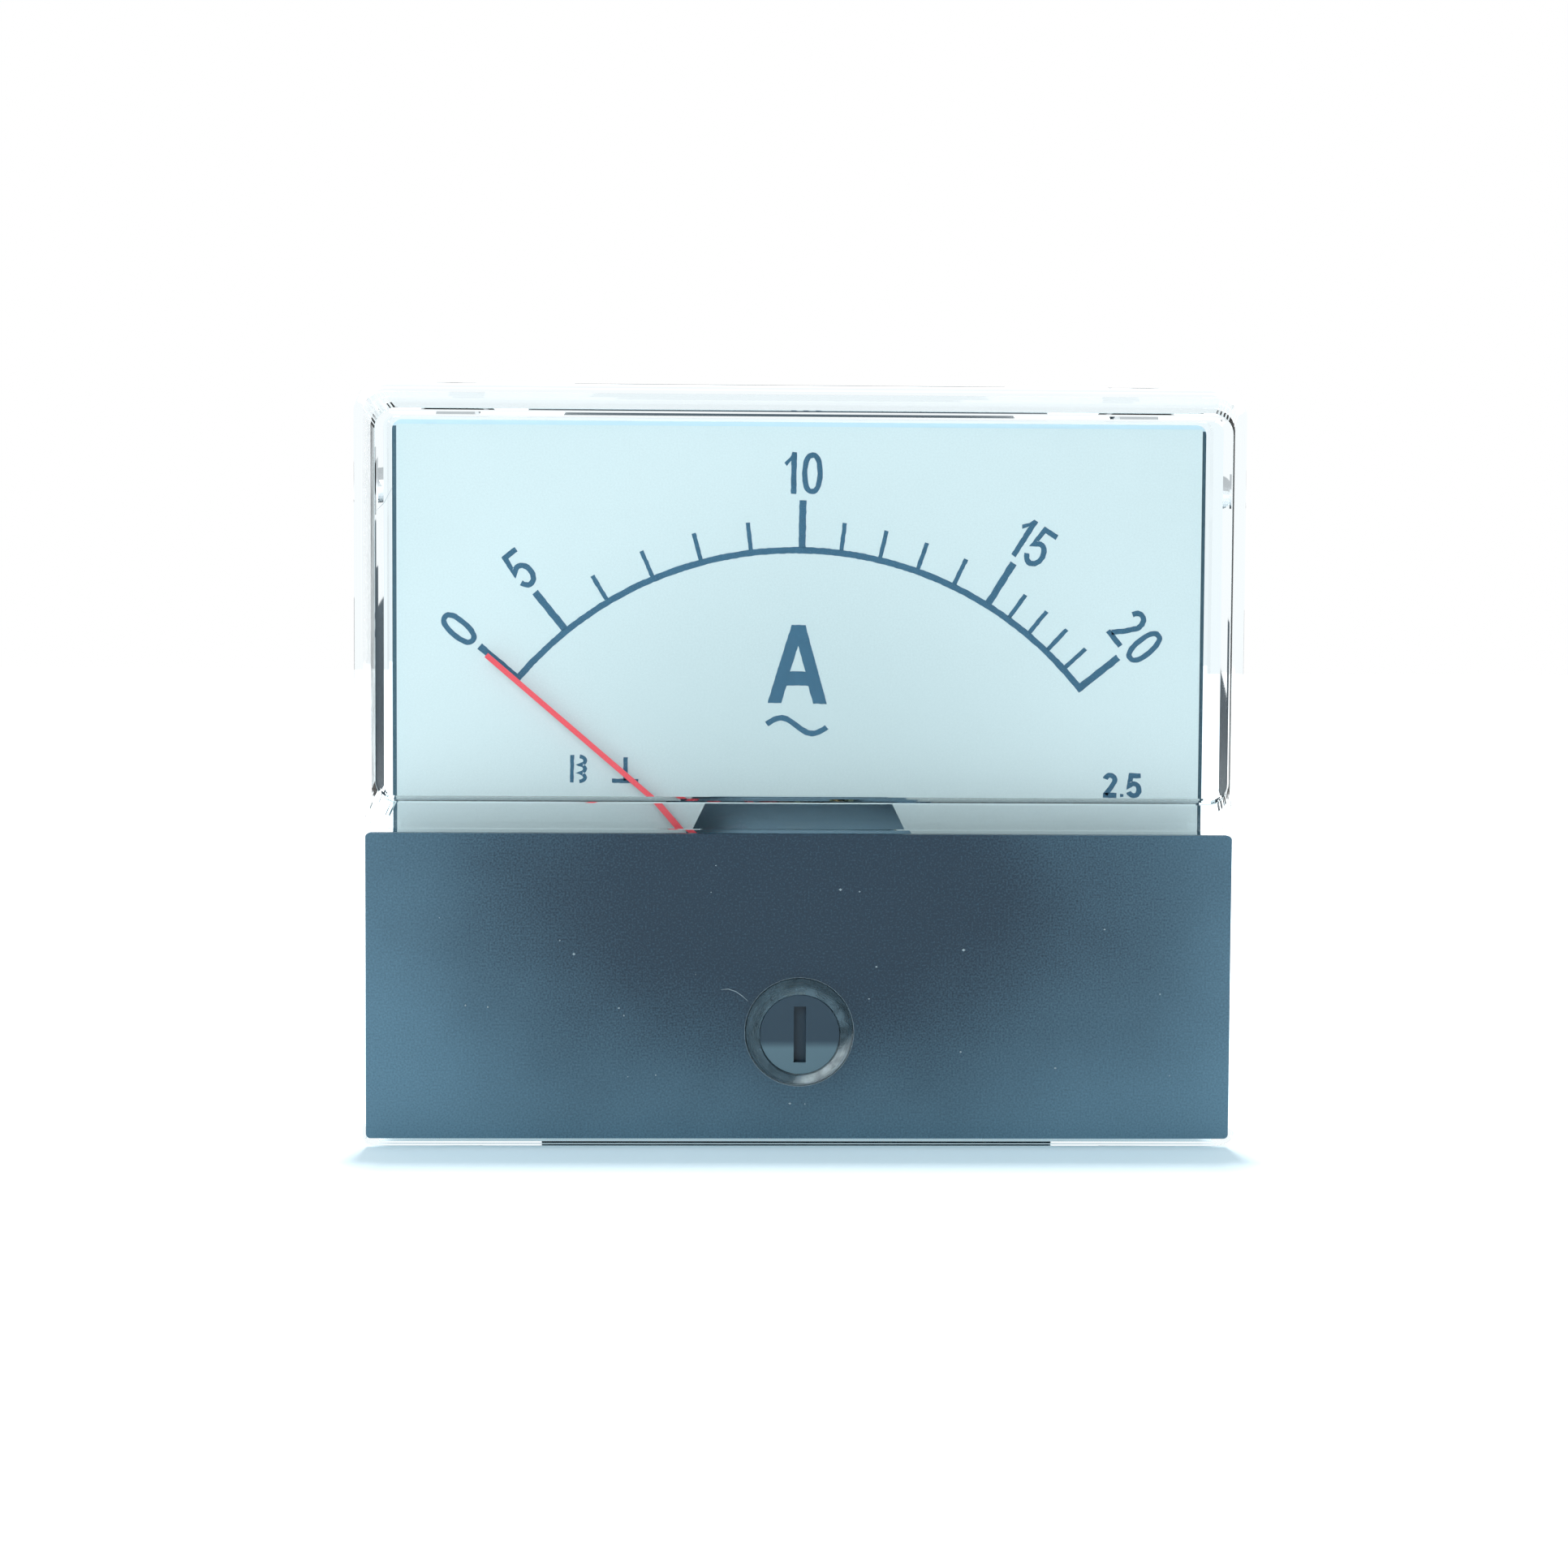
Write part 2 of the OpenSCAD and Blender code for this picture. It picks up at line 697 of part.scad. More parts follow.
module jewel_locknuts() color("gold") {
    hex_nut(2 * locknut_r * cos(30), jewel_r, locknut_front, locknut_back, 0, axis_z);
    hex_nut(2 * locknut_r * cos(30), jewel_r, rear_back, rear_back + locknut_t, 0, axis_z);
}

// Moulded frame under the dial, with pillars for the bridge
module movement_frame() color("#24282e") {
    difference() {
        union() {
            intersection() {
                rod(cavity_r - loose, frame_front, frame_back);
                translate([-cavity_r, frame_front, axis_z - frame_low])
                    cube([2 * cavity_r, frame_t, frame_low + frame_top]);
            }
            for (s = [-1, 1]) rod(pillar_r, bridge_back, frame_front + leaf, s * pillar_x, axis_z);
        }
        rod(bobbin_bore / 2, frame_front - past, frame_back + past, 0, axis_z);
        for (s = [-1, 1]) {
            rod(screw_r, bridge_back - past, frame_back + past, s * pillar_x, axis_z);
            rod(screw_r, frame_front - past, frame_back + past, s * frame_screw_x, axis_z);
        }
    }
}

module frame_screws() color("silver") {
    for (s = [-1, 1]) slotted_screw(frame_front, frame_back + frame_screw_l, s * frame_screw_x, axis_z);
}

module bobbin() color("#e8e2cc") {
    tube_r = bobbin_bore + bobbin_wall;
    ring(tube_r, bobbin_bore, bobbin_front, bobbin_back, 0, axis_z);
    ring(bobbin_r, tube_r - leaf, bobbin_front, bobbin_front + bobbin_flange, 0, axis_z);
    ring(bobbin_r, tube_r - leaf, bobbin_back - bobbin_flange, bobbin_back, 0, axis_z);
}

module coil() color("#a8552a") {
    ring(bobbin_r - winding_rim, bobbin_bore + bobbin_wall, bobbin_front + bobbin_flange,
        bobbin_back - bobbin_flange, 0, axis_z);
}

module fixed_vane() color("gray") {
    translate([0, 0, axis_z]) intersection() {
        ring(bobbin_bore, bobbin_bore - vane_t, bobbin_front + 1, bobbin_back - 1);
        between(bobbin_front, bobbin_back) sector(0, 2 * bobbin_bore, -150, -60, 6);
    }
}

module moving_vane() color("gray") {
    vane_r = bobbin_bore - vane_t - 0.6;
    vane_front = bobbin_front + 1.5;
    vane_back = bobbin_back - 1.5;
    at_zero() {
        intersection() {
            ring(vane_r, vane_r - vane_t, vane_front, vane_back);
            between(vane_front, vane_back) sector(0, 2 * vane_r, -75, -25, 6);
        }
        difference() {
            rotate([0, -50, 0]) translate([-vane_t / 2, vane_front, 0])
                cube([vane_t, vane_back - vane_front, vane_r - vane_t / 2]);
            rod(spindle_r, vane_front - past, vane_back + past);
        }
    }
}

module damping_vane() color("lightgray") at_zero() {
    ring(hub_r, spindle_r, disc_front, disc_back);
    difference() {
        between(disc_front, disc_back) sector(hub_r / 2, disc_r, 90 - 75, 90 + 75);
        rod((hub_r + spindle_r) / 2, disc_front - past, disc_back + past);
    }
}

module damping_magnets() color("#3a3a3a") {
    size = disc_r / 2;
    for (span = [[bobbin_back, bobbin_back + magnet_t], [disc_back + 0.4, rear_front]]) {
        translate([disc_r - size, span[0], axis_z - size / 2]) cube([size, span[1] - span[0], size]);
    }
}

// Strap with two legs that stand on the bobbin
module rear_bridge() color("#24282e") {
    half = bobbin_r - 0.4;
    difference() {
        union() {
            translate([-half, rear_front, axis_z - strap_w / 2]) cube([2 * half, rear_t, strap_w]);
            for (s = [-1, 1]) {
                translate([s * (half - strap_leg / 2) - strap_leg / 2, bobbin_back, axis_z - strap_w / 2])
                    cube([strap_leg, rear_leg + leaf, strap_w]);
            }
        }
        rod(jewel_r, rear_front - past, rear_back + past, 0, axis_z);
    }
}

// Copper strips from the winding to the lugs under the terminal studs
module lead_strips() color("#b46a3c") {
    strip_t = 0.8;
    strip_w = 3;
    coil_r = bobbin_r - winding_rim;
    lug_rim = 2;
    strip_drop = 2.6;
    strip_z = -terminal_r - strip_drop;
    foot_x = sqrt(pow(coil_r, 2) - pow(strip_z - axis_z, 2)) + loose / 2;
    strip_x = terminal_dx / 2 - strip_w / 2;
    for (s = [0, 1]) mirror([s, 0, 0]) {
        difference() {
            union() {
                rod(terminal_r + lug_rim, terminal_head_back, cavity_back, terminal_dx / 2);
                translate([strip_x, terminal_head_back, strip_z]) cube([strip_w, lug_t, -strip_z]);
            }
            rod(terminal_r, terminal_head_back - past, cavity_back + past, terminal_dx / 2);
        }
        translate([strip_x, bobbin_front + 4, strip_z])
            cube([strip_w, terminal_head_back - bobbin_front - 4 + leaf, strip_t]);
        translate([foot_x, bobbin_front + 4, strip_z]) cube([strip_x - foot_x + leaf, strip_w, strip_t]);
    }
}

// Threaded rod along Y, drawn at mid-thread where its nuts grip it
module threaded_rod(r, bite, front, back, grips, x = 0, z = 0) {
    difference() {
        rod(r, front, back, x, z);
        for (grip = grips) ring(r + past, r - bite, grip[0], grip[1], x, z);
    }
}

module terminal_studs() color("gold") {
    for (s = [-1, 1]) {
        x = s * terminal_dx / 2;
        hex_nut(terminal_nut_af, terminal_r - past, terminal_head_back - terminal_head_t,
            terminal_head_back, x);
        threaded_rod(terminal_r, terminal_bite, terminal_head_back - terminal_head_t, terminal_end,
            [[clamp_nut_y, outer_washer_y], [outer_nut_y, terminal_free_y]], x);
    }
}

module terminal_nuts() color("gold") {
    for (s = [-1, 1], y = [clamp_nut_y, outer_nut_y]) {
        hex_nut(terminal_nut_af, terminal_r - terminal_bite, y, y + terminal_nut_t, s * terminal_dx / 2);
    }
}

module terminal_washers() color("gold") {
    for (s = [-1, 1], y = [barrel_l, outer_washer_y]) {
        ring(terminal_washer_r, terminal_r, y, y + terminal_washer_t, s * terminal_dx / 2);
    }
}

// Split washers, each cut through on one side
module spring_washers() color("silver") {
    for (s = [-1, 1]) {
        x = s * terminal_dx / 2;
        difference() {
            ring(spring_washer_r, terminal_r, spring_washer_y, outer_nut_y, x);
            translate([x, spring_washer_y + spring_washer_t / 2, 0]) rotate([30, 0, 0])
                translate([0, -past, 0]) cube([2 * spring_washer_r, 2 * past, 0.4]);
        }
    }
}

// One copy of its children at each mounting stud
module at_studs() {
    for (sx = [-1, 1], sz = [-1, 1]) translate([sx * stud_dx / 2, 0, sz * stud_dz / 2]) children();
}

module mounting_studs() color("silver") at_studs() {
    rod(stud_head_r, stud_front, stud_front + stud_head_t);
    rod(shoulder_r, stud_front, 0);
    threaded_rod(stud_r, stud_bite, -leaf, stud_l, [[panel_room, nut_back]]);
}

module mounting_nuts() color("silver") at_studs()
    hex_nut(nut_af, stud_r - stud_bite, nut_front, nut_back);

module mounting_washers() color("silver") at_studs()
    ring(washer_r, stud_r + loose, panel_room, nut_front);

cover();
lower_panel();
adjuster_screw();
adjuster_clip();
base_housing();
dial_plate();
dial_screws();
pointer();
balance_cross();
balance_weights();
spindle();
spring_collet();
hairspring();
zero_lever();
front_bridge();
bridge_screws();
front_jewel_screw();
rear_jewel_screw();
jewel_locknuts();
movement_frame();
frame_screws();
bobbin();
coil();
fixed_vane();
moving_vane();
damping_vane();
damping_magnets();
rear_bridge();
lead_strips();
terminal_studs();
terminal_nuts();
terminal_washers();
spring_washers();
mounting_studs();
mounting_nuts();
mounting_washers();
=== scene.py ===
"""Looks of an analog panel meter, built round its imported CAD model.

All lengths are metres. The front faces -Y, +X is to the right of the dial and
+Z is up. The back of the flange lies on the plane y = 0.
"""
import json
import math
import random

import bpy
from mathutils import Matrix, Vector
from mathutils.geometry import tessellate_polygon


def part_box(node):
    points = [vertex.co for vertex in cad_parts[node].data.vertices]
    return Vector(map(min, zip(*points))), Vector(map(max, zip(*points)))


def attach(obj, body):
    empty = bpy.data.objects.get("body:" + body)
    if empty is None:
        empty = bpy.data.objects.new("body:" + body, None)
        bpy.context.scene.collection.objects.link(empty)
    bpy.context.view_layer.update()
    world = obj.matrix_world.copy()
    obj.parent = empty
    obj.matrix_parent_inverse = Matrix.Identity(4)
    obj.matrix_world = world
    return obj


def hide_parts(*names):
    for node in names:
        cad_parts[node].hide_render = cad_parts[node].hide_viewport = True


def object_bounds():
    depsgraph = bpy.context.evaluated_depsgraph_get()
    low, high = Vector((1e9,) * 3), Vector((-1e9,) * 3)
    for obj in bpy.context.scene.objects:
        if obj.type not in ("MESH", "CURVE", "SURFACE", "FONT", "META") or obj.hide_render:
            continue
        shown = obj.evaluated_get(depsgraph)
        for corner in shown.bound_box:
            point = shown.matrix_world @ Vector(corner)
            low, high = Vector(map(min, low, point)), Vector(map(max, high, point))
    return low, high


MM = 0.001

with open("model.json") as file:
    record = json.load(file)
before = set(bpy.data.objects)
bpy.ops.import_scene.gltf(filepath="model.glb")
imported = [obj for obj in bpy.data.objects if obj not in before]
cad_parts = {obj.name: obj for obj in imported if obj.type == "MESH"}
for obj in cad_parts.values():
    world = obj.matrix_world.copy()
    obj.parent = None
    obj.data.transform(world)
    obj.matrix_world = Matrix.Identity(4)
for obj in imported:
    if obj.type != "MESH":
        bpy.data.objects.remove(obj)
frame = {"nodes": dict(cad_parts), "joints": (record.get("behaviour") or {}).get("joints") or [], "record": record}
nodes = frame["nodes"]
cad_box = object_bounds()
dial_low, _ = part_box("dial_plate")
panel_low, panel_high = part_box("lower_panel")


def joint_place(name):
    """A point on a joint's axis."""
    return next(j["pos_m"] for j in frame["joints"] if j["name"] == name)


PIVOT_X, _, PIVOT_Z = joint_place("pointer_swing")
ADJUSTER_X, _, ADJUSTER_Z = joint_place("adjuster_turn")

# The print is turned a little clockwise on the dial, about a centre a little off the pivot.
DIAL_SKEW = math.radians(0.75)
PRINT_CENTRE = (PIVOT_X - 0.25 * MM, PIVOT_Z + 0.73 * MM)
INK_THICKNESS = 0.02 * MM
# Middle of the clear boss round the adjuster, near its rim.
BOSS_CENTRE = (ADJUSTER_X, -9.0 * MM, ADJUSTER_Z)
# Polystyrene has an index of 1.59. At that value the window's steep walls bring dark bands into
# view that the object doesn't show, so the index is set lower: a choice of look, not of optics.
COVER_IOR = 1.2


# ---------------------------------------------------------------- materials
# Worn, dusty and scuffed areas, and painted light and shade, are painted by the place on the part, in metres.

def linear(code):
    """Turns an sRGB hex colour into linear RGBA."""
    channels = [int(code[i:i + 2], 16) / 255 for i in (1, 3, 5)]
    return tuple(c / 12.92 if c <= 0.04045 else ((c + 0.055) / 1.055) ** 2.4
                 for c in channels) + (1.0,)


def add(tree, kind, settings=None, links=None):
    """Adds a node, sets its properties and sockets, and links its inputs."""
    node = tree.nodes.new(kind)
    for name, value in (settings or {}).items():
        if isinstance(name, str) and hasattr(node, name):
            setattr(node, name, value)
        else:
            node.inputs[name].default_value = value
    for socket, source in (links or {}).items():
        tree.links.new(source, node.inputs[socket])
    return node


def calc(tree, operation, *values):
    """A maths node; each value is a number or the socket that gives it."""
    settings = {"operation": operation}
    settings.update({i: v for i, v in enumerate(values) if isinstance(v, (int, float))})
    links = {i: v for i, v in enumerate(values) if i not in settings}
    return add(tree, "ShaderNodeMath", settings, links).outputs[0]


def noise(tree, place, size_mm, detail):
    """Noise whose features are about a size in millimetres."""
    return add(tree, "ShaderNodeTexNoise", {"Scale": 1 / (size_mm * MM), "Detail": detail},
               {"Vector": place}).outputs["Fac"]


def rise(tree, value, start, end):
    """0 at the start value, 1 at the end value, and soft between them."""
    return add(tree, "ShaderNodeMapRange",
               {"interpolation_type": "SMOOTHSTEP", "From Min": start, "From Max": end},
               {"Value": value}).outputs[0]


def blend(tree, share, first, second, clamp=True):
    """From the first colour at 0 to the second at 1; a colour is a hex code or a socket."""
    settings, links = {"data_type": "RGBA", "clamp_factor": clamp}, {0: share}
    for socket, tone in ((6, first), (7, second)):
        if isinstance(tone, str):
            settings[socket] = linear(tone)
        else:
            links[socket] = tone
    return add(tree, "ShaderNodeMix", settings, links).outputs[2]


def distance_from(tree, place, point):
    """Distance of the shaded spot from a point."""
    return add(tree, "ShaderNodeVectorMath", {"operation": "DISTANCE", 1: point},
               {0: place}).outputs["Value"]


def start_material(name):
    """Returns a new material, its node tree, its output node and the place in the object."""
    material = bpy.data.materials.new(name)
    material.use_nodes = True
    tree = material.node_tree
    tree.nodes.clear()
    output = tree.nodes.new("ShaderNodeOutputMaterial")
    return material, tree, output, add(tree, "ShaderNodeTexCoord").outputs["Object"]


def grained(tree, output, tone, roughness, ior, grain, depth_mm, strength=0.3, mirror=0.25):
    """Ends a material in an opaque shader with a fine relief."""
    bump = add(tree, "ShaderNodeBump", {"Strength": strength, "Distance": depth_mm * MM},
               {"Height": grain}).outputs[0]
    shader = add(tree, "ShaderNodeBsdfPrincipled",
                 {"Roughness": roughness, "IOR": ior, "Specular IOR Level": mirror},
                 {"Base Color": tone, "Normal": bump})
    tree.links.new(shader.outputs[0], output.inputs["Surface"])


def finish_of(name, light, dark, patch_mm, roughness, spread=0.06, metallic=0.0, ior=None,
              grain_mm=None, grain_depth=0.0, speckle=0.0, stretch=(1, 1, 1)):
    """A surface whose colour drifts between two near tones in patches and in fine specks."""
    material, tree, output, place = start_material(name)
    mapped = add(tree, "ShaderNodeMapping", {"Scale": stretch}, {"Vector": place}).outputs[0]
    patches = noise(tree, mapped, patch_mm, 4.0)
    grain = noise(tree, mapped, grain_mm or patch_mm, 1.0)
    drift = add(tree, "ShaderNodeMix", {0: speckle}, {2: patches, 3: grain}).outputs[0]
    rough = add(tree, "ShaderNodeMapRange",
                {"To Min": max(roughness - spread, 0.02), "To Max": roughness + spread},
                {"Value": patches}).outputs[0]
    settings = {"Metallic": metallic}
    if ior:
        settings["IOR"] = ior
    shader = add(tree, "ShaderNodeBsdfPrincipled", settings,
                 {"Base Color": blend(tree, drift, dark, light), "Roughness": rough})
    if grain_mm:
        bump = add(tree, "ShaderNodeBump", {"Strength": 0.35, "Distance": grain_depth * MM},
                   {"Height": grain})
        tree.links.new(bump.outputs[0], shader.inputs["Normal"])
    tree.links.new(shader.outputs[0], output.inputs["Surface"])
    return material


def panel_gloss_black():
    """ABS sheet with a worn gloss: blue-black, with a painted pale reflection towards its lower edge and sides,
    and dust grains.
    """
    material, tree, output, place = start_material("abs_gloss_black")
    # Where the painted reflection is darkest, and how far it reaches.
    darkest_reflection_spot = (0.0, 0.0, -9 * MM)
    reflection_reach = (34 * MM, 1.0, 20 * MM)
    hole_r = 4.31 * MM
    away = add(tree, "ShaderNodeVectorMath", {"operation": "SUBTRACT", 1: darkest_reflection_spot}, {0: place})
    scaled = add(tree, "ShaderNodeVectorMath", {"operation": "DIVIDE", 1: reflection_reach},
                 {0: away.outputs[0]})
    distance = add(tree, "ShaderNodeVectorMath", {"operation": "LENGTH"}, {0: scaled.outputs[0]})
    clouds = calc(tree, "MULTIPLY_ADD", noise(tree, place, 16, 3.0), 0.5, -0.25)
    # Painted reflection of the bright floor near the meter: pale towards the lower edge and sides.
    painted_reflection = rise(tree, calc(tree, "ADD", distance.outputs["Value"], clouds), 0.3, 1.5)
    # Dust grains are a few hundredths of a millimetre; they are drawn at 0.15 mm to show.
    dust = noise(tree, place, 0.15, 1.0)
    # The painted reflection with the dust grains over it.
    cover = add(tree, "ShaderNodeMath", {"operation": "ADD", "use_clamp": True},
                {0: painted_reflection, 1: calc(tree, "MULTIPLY_ADD", dust, 0.7, -0.35)}).outputs[0]
    # The wall of the hole round the boss is painted pale, as painted light in the shaded gap round the boss.
    flat = add(tree, "ShaderNodeVectorMath", {"operation": "MULTIPLY", 1: (1.0, 0.0, 1.0)},
               {0: place})
    from_hole = distance_from(tree, flat.outputs[0], (ADJUSTER_X, 0.0, ADJUSTER_Z))
    tone = blend(tree, calc(tree, "LESS_THAN", from_hole, hole_r),
                 blend(tree, cover, "#132e40", "#567e94"), "#9db3bf")
    grained(tree, output, tone, 0.3, 1.52, dust, 0.01)
    return material


def clear_polystyrene():
    """Clear polystyrene, injection moulded and polished: bright, with faint flow ripples.

    A share of plain refraction mutes the mirroring of the steep walls. Lamps and bounced light
    reach the dial straight through it. The boss round the adjuster is scuffed milky, with a
    painted highlight that whitens it at its lower right.
    """
    material, tree, output, place = start_material("clear_polystyrene")
    plain_share = 0.85
    scuffed_r = 5.2 * MM
    lower_right = (0.6, 0.0, -0.8)
    polish = {"Roughness": 0.02, "IOR": COVER_IOR}
    tint = linear("#fbfeff")
    ripple = add(tree, "ShaderNodeBump", {"Strength": 0.04, "Distance": 0.03 * MM},
                 {"Height": noise(tree, place, 9, 2.0)}).outputs[0]
    moulded = add(tree, "ShaderNodeBsdfPrincipled",
                  {"Base Color": tint, "Transmission Weight": 1.0, **polish}, {"Normal": ripple})
    bent = add(tree, "ShaderNodeBsdfRefraction", {"Color": tint, **polish}, {"Normal": ripple})
    mirror = add(tree, "ShaderNodeFresnel", {"IOR": COVER_IOR}, {"Normal": ripple})
    not_total = calc(tree, "LESS_THAN", mirror.outputs[0], 0.98)
    clear = add(tree, "ShaderNodeMixShader", {},
                {0: calc(tree, "MULTIPLY", not_total, plain_share), 1: moulded.outputs[0],
                 2: bent.outputs[0]})
    in_boss = calc(tree, "LESS_THAN", distance_from(tree, place, BOSS_CENTRE), scuffed_r)
    scuffs = add(tree, "ShaderNodeMapRange",
                 {"From Min": 0.35, "From Max": 0.65, "To Min": 0.35, "To Max": 0.75},
                 {"Value": noise(tree, place, 1.1, 3.0)}).outputs[0]
    from_middle = add(tree, "ShaderNodeVectorMath", {"operation": "SUBTRACT", 1: BOSS_CENTRE},
                      {0: place})
    along = add(tree, "ShaderNodeVectorMath", {"operation": "DOT_PRODUCT", 1: lower_right},
                {0: from_middle.outputs[0]})
    # Painted highlight: the scuffs are whitened towards the boss's lower right.
    painted_highlight = rise(tree, along.outputs["Value"], 2.2 * MM, 3.5 * MM)
    milky = add(tree, "ShaderNodeBsdfDiffuse", {},
                {"Color": blend(tree, painted_highlight, "#5f7784", "#d3e4ea")})
    clear = add(tree, "ShaderNodeMixShader", {},
                {0: calc(tree, "MULTIPLY", in_boss, scuffs), 1: clear.outputs[0],
                 2: milky.outputs[0]})
    rays = add(tree, "ShaderNodeLightPath").outputs
    passed = add(tree, "ShaderNodeBsdfTransparent", {"Color": linear("#fcfeff")})
    mixed = add(tree, "ShaderNodeMixShader", {},
                {0: calc(tree, "MAXIMUM", rays["Is Shadow Ray"], rays["Is Diffuse Ray"]),
                 1: clear.outputs[0], 2: passed.outputs[0]})
    tree.links.new(mixed.outputs[0], output.inputs["Surface"])
    return material


def straight_rays(tree):
    """1 for rays from the camera, through clear parts or off gloss; 0 for rays that light."""
    rays = add(tree, "ShaderNodeLightPath").outputs
    direct = calc(tree, "MAXIMUM", rays["Is Camera Ray"], rays["Is Transmission Ray"])
    return calc(tree, "MAXIMUM", direct, rays["Is Glossy Ray"])


def floor_white():
    """White board: it shows white where it is lit, with a soft blue-grey contact shadow.

    The shadow's tint is a faint glow near the meter, paler under its clear skirt. Far off the
    glow is white.
    """
    material, tree, output, place = start_material("floor_board_white")
    distance = distance_from(tree, place, (0.0, 0.0, 0.0))
    depth = add(tree, "ShaderNodeSeparateXYZ", {}, {0: place}).outputs["Y"]
    near = blend(tree, rise(tree, depth, -8 * MM, -5 * MM), "#4c7c8e", "#8ca8b3")
    glow = blend(tree, rise(tree, distance, 50 * MM, 140 * MM), near, "#ffffff")
    seen_matt = add(tree, "ShaderNodeBsdfDiffuse", {"Color": linear("#f3f3f3")})
    seen_glow = add(tree, "ShaderNodeEmission", {"Strength": 1.0}, {"Color": glow})
    seen = add(tree, "ShaderNodeAddShader", {}, {0: seen_matt.outputs[0], 1: seen_glow.outputs[0]})
    matt = add(tree, "ShaderNodeBsdfDiffuse", {"Color": linear("#ececec")})
    mixed = add(tree, "ShaderNodeMixShader", {},
                {0: straight_rays(tree), 1: matt.outputs[0], 2: seen.outputs[0]})
    tree.links.new(mixed.outputs[0], output.inputs["Surface"])
    return material


def screw_black():
    """Nylon, moulded: black with a soft sheen, with a painted reflection that makes its lower part paler, but not
    down in its slot.
    """
    material, tree, output, place = start_material("nylon_moulded_black")
    axes = add(tree, "ShaderNodeSeparateXYZ", {}, {0: place}).outputs
    # Painted reflection of the bright floor: the lower part of the face is paler.
    lower = rise(tree, axes["Z"], -21.1 * MM, -21.9 * MM)
    on_face = calc(tree, "LESS_THAN", axes["Y"], -8.7 * MM)
    tone = blend(tree, calc(tree, "MULTIPLY", lower, on_face), "#273d4c", "#536f7c")
    grained(tree, output, tone, 0.4, 1.53, noise(tree, place, 0.2, 1.0), 0.01)
    return material


def housing_black():
    """Phenolic housing: near black behind, and painted a lighter blue-grey at its front.

    It is painted pale at its rim and foot and behind the dial's opening, as painted light that
    lifts the shade they lie in, seen through the cover.
    """
    material, tree, output, place = start_material("phenolic_moulded_black")
    axes = add(tree, "ShaderNodeSeparateXYZ", {}, {0: place}).outputs
    # Painted light: the rim and foot are pale where they lie in shade.
    edges = calc(tree, "MAXIMUM", calc(tree, "LESS_THAN", axes["Z"], -29.0 * MM),
                 calc(tree, "GREATER_THAN", axes["Z"], 26.9 * MM))
    from_opening = distance_from(tree, place, (0.0, 0.0, -8 * MM))
    behind_opening = calc(tree, "LESS_THAN", from_opening, 12 * MM)
    # Painted light: the front is a lighter blue-grey, lifting the shade inside the cover.
    painted_light_front = blend(tree, calc(tree, "LESS_THAN", axes["Y"], 2.4 * MM), "#2a3a44", "#45616f")
    # Painted light: behind the dial's opening the housing is pale, to lift the shade there.
    tone = blend(tree, edges, blend(tree, behind_opening, painted_light_front, "#aed8f0"), "#cfe6f0")
    grained(tree, output, tone, 0.45, 1.55, noise(tree, place, 0.4, 1.0), 0.03)
    return material


def dial_paint():
    """Stoving paint on aluminium sheet: matt and pale, with painted shade that greys it a little round the
    pointer's axis.

    Its tooth is finer than the eye can see; it is drawn at 0.15 mm to show.
    """
    material, tree, output, place = start_material("stoved_paint_pale")
    clouds = noise(tree, place, 14, 3.0)
    tooth = noise(tree, place, 0.15, 1.0)
    drift = add(tree, "ShaderNodeMix", {0: 0.75}, {2: clouds, 3: tooth}).outputs[0]
    # Painted shade: the paint is a little greyer round the pointer's axis, and its own colour further out.
    painted_shade_falloff = rise(tree, distance_from(tree, place, (0.0, 0.0, -4 * MM)), 4 * MM, 34 * MM)
    level = calc(tree, "ADD", painted_shade_falloff, calc(tree, "MULTIPLY_ADD", drift, 0.9, -0.45))
    tone = blend(tree, level, "#c6d7d9", "#d8e8ea", clamp=False)
    grained(tree, output, tone, 0.6, 1.5, tooth, 0.01, strength=0.35, mirror=0.5)
    return material


FINISHES = {
    "clear_polystyrene": clear_polystyrene(),
    "black_gloss_plastic": panel_gloss_black(),
    "black_screw_plastic": screw_black(),
    "black_housing_plastic": housing_black(),
    "dial_paint": dial_paint(),
    # Sprayed lacquer on the pointer: warm red with a satin sheen.
    "pointer_red": finish_of("lacquer_sprayed_red", "#ef5a64", "#e84c58", 3, 0.45, ior=1.5),
    # Zinc plated steel: cool grey, softly bright.
    "steel": finish_of("steel_zinc_plated", "#cdd0d2", "#b4b8bb", 2, 0.3, 0.08, 1.0,
                       grain_mm=0.15, grain_depth=0.01),
    # Turned brass, left bare: warm yellow with fine turning marks.
    "brass": finish_of("brass_turned", "#cbbd90", "#b9a97a", 2, 0.28, 0.08, 1.0,
                       grain_mm=0.12, grain_depth=0.012, stretch=(1, 6, 1)),
    # Phosphor bronze strip, rolled.
    "bronze": finish_of("phosphor_bronze_rolled", "#b08a6c", "#9b775b", 1, 0.32, 0.05, 1.0),
    # Nylon in its natural colour.
    "bobbin_plastic": finish_of("nylon_natural", "#e6dfc8", "#dbd3b9", 3, 0.45, ior=1.53,
                                grain_mm=0.3, grain_depth=0.01),
    # Enamelled copper wire: red-brown and glossy, with its turns as fine ridges.
    "enamelled_copper": finish_of("copper_enamelled", "#b5653a", "#96502c", 1.5, 0.3, 0.06, 1.0,
                                  grain_mm=0.5, grain_depth=0.06, stretch=(0.2, 6, 0.2)),
    # Annealed soft iron: dark and dull.
    "soft_iron": finish_of("iron_annealed", "#6a6c70", "#57595c", 2, 0.5, 0.08, 1.0),
    # Rolled aluminium sheet: bright and plain.
    "aluminium": finish_of("aluminium_rolled", "#dcdee0", "#cbced0", 3, 0.33, 0.06, 1.0,
                           grain_mm=0.2, grain_depth=0.01, stretch=(6, 1, 1)),
}
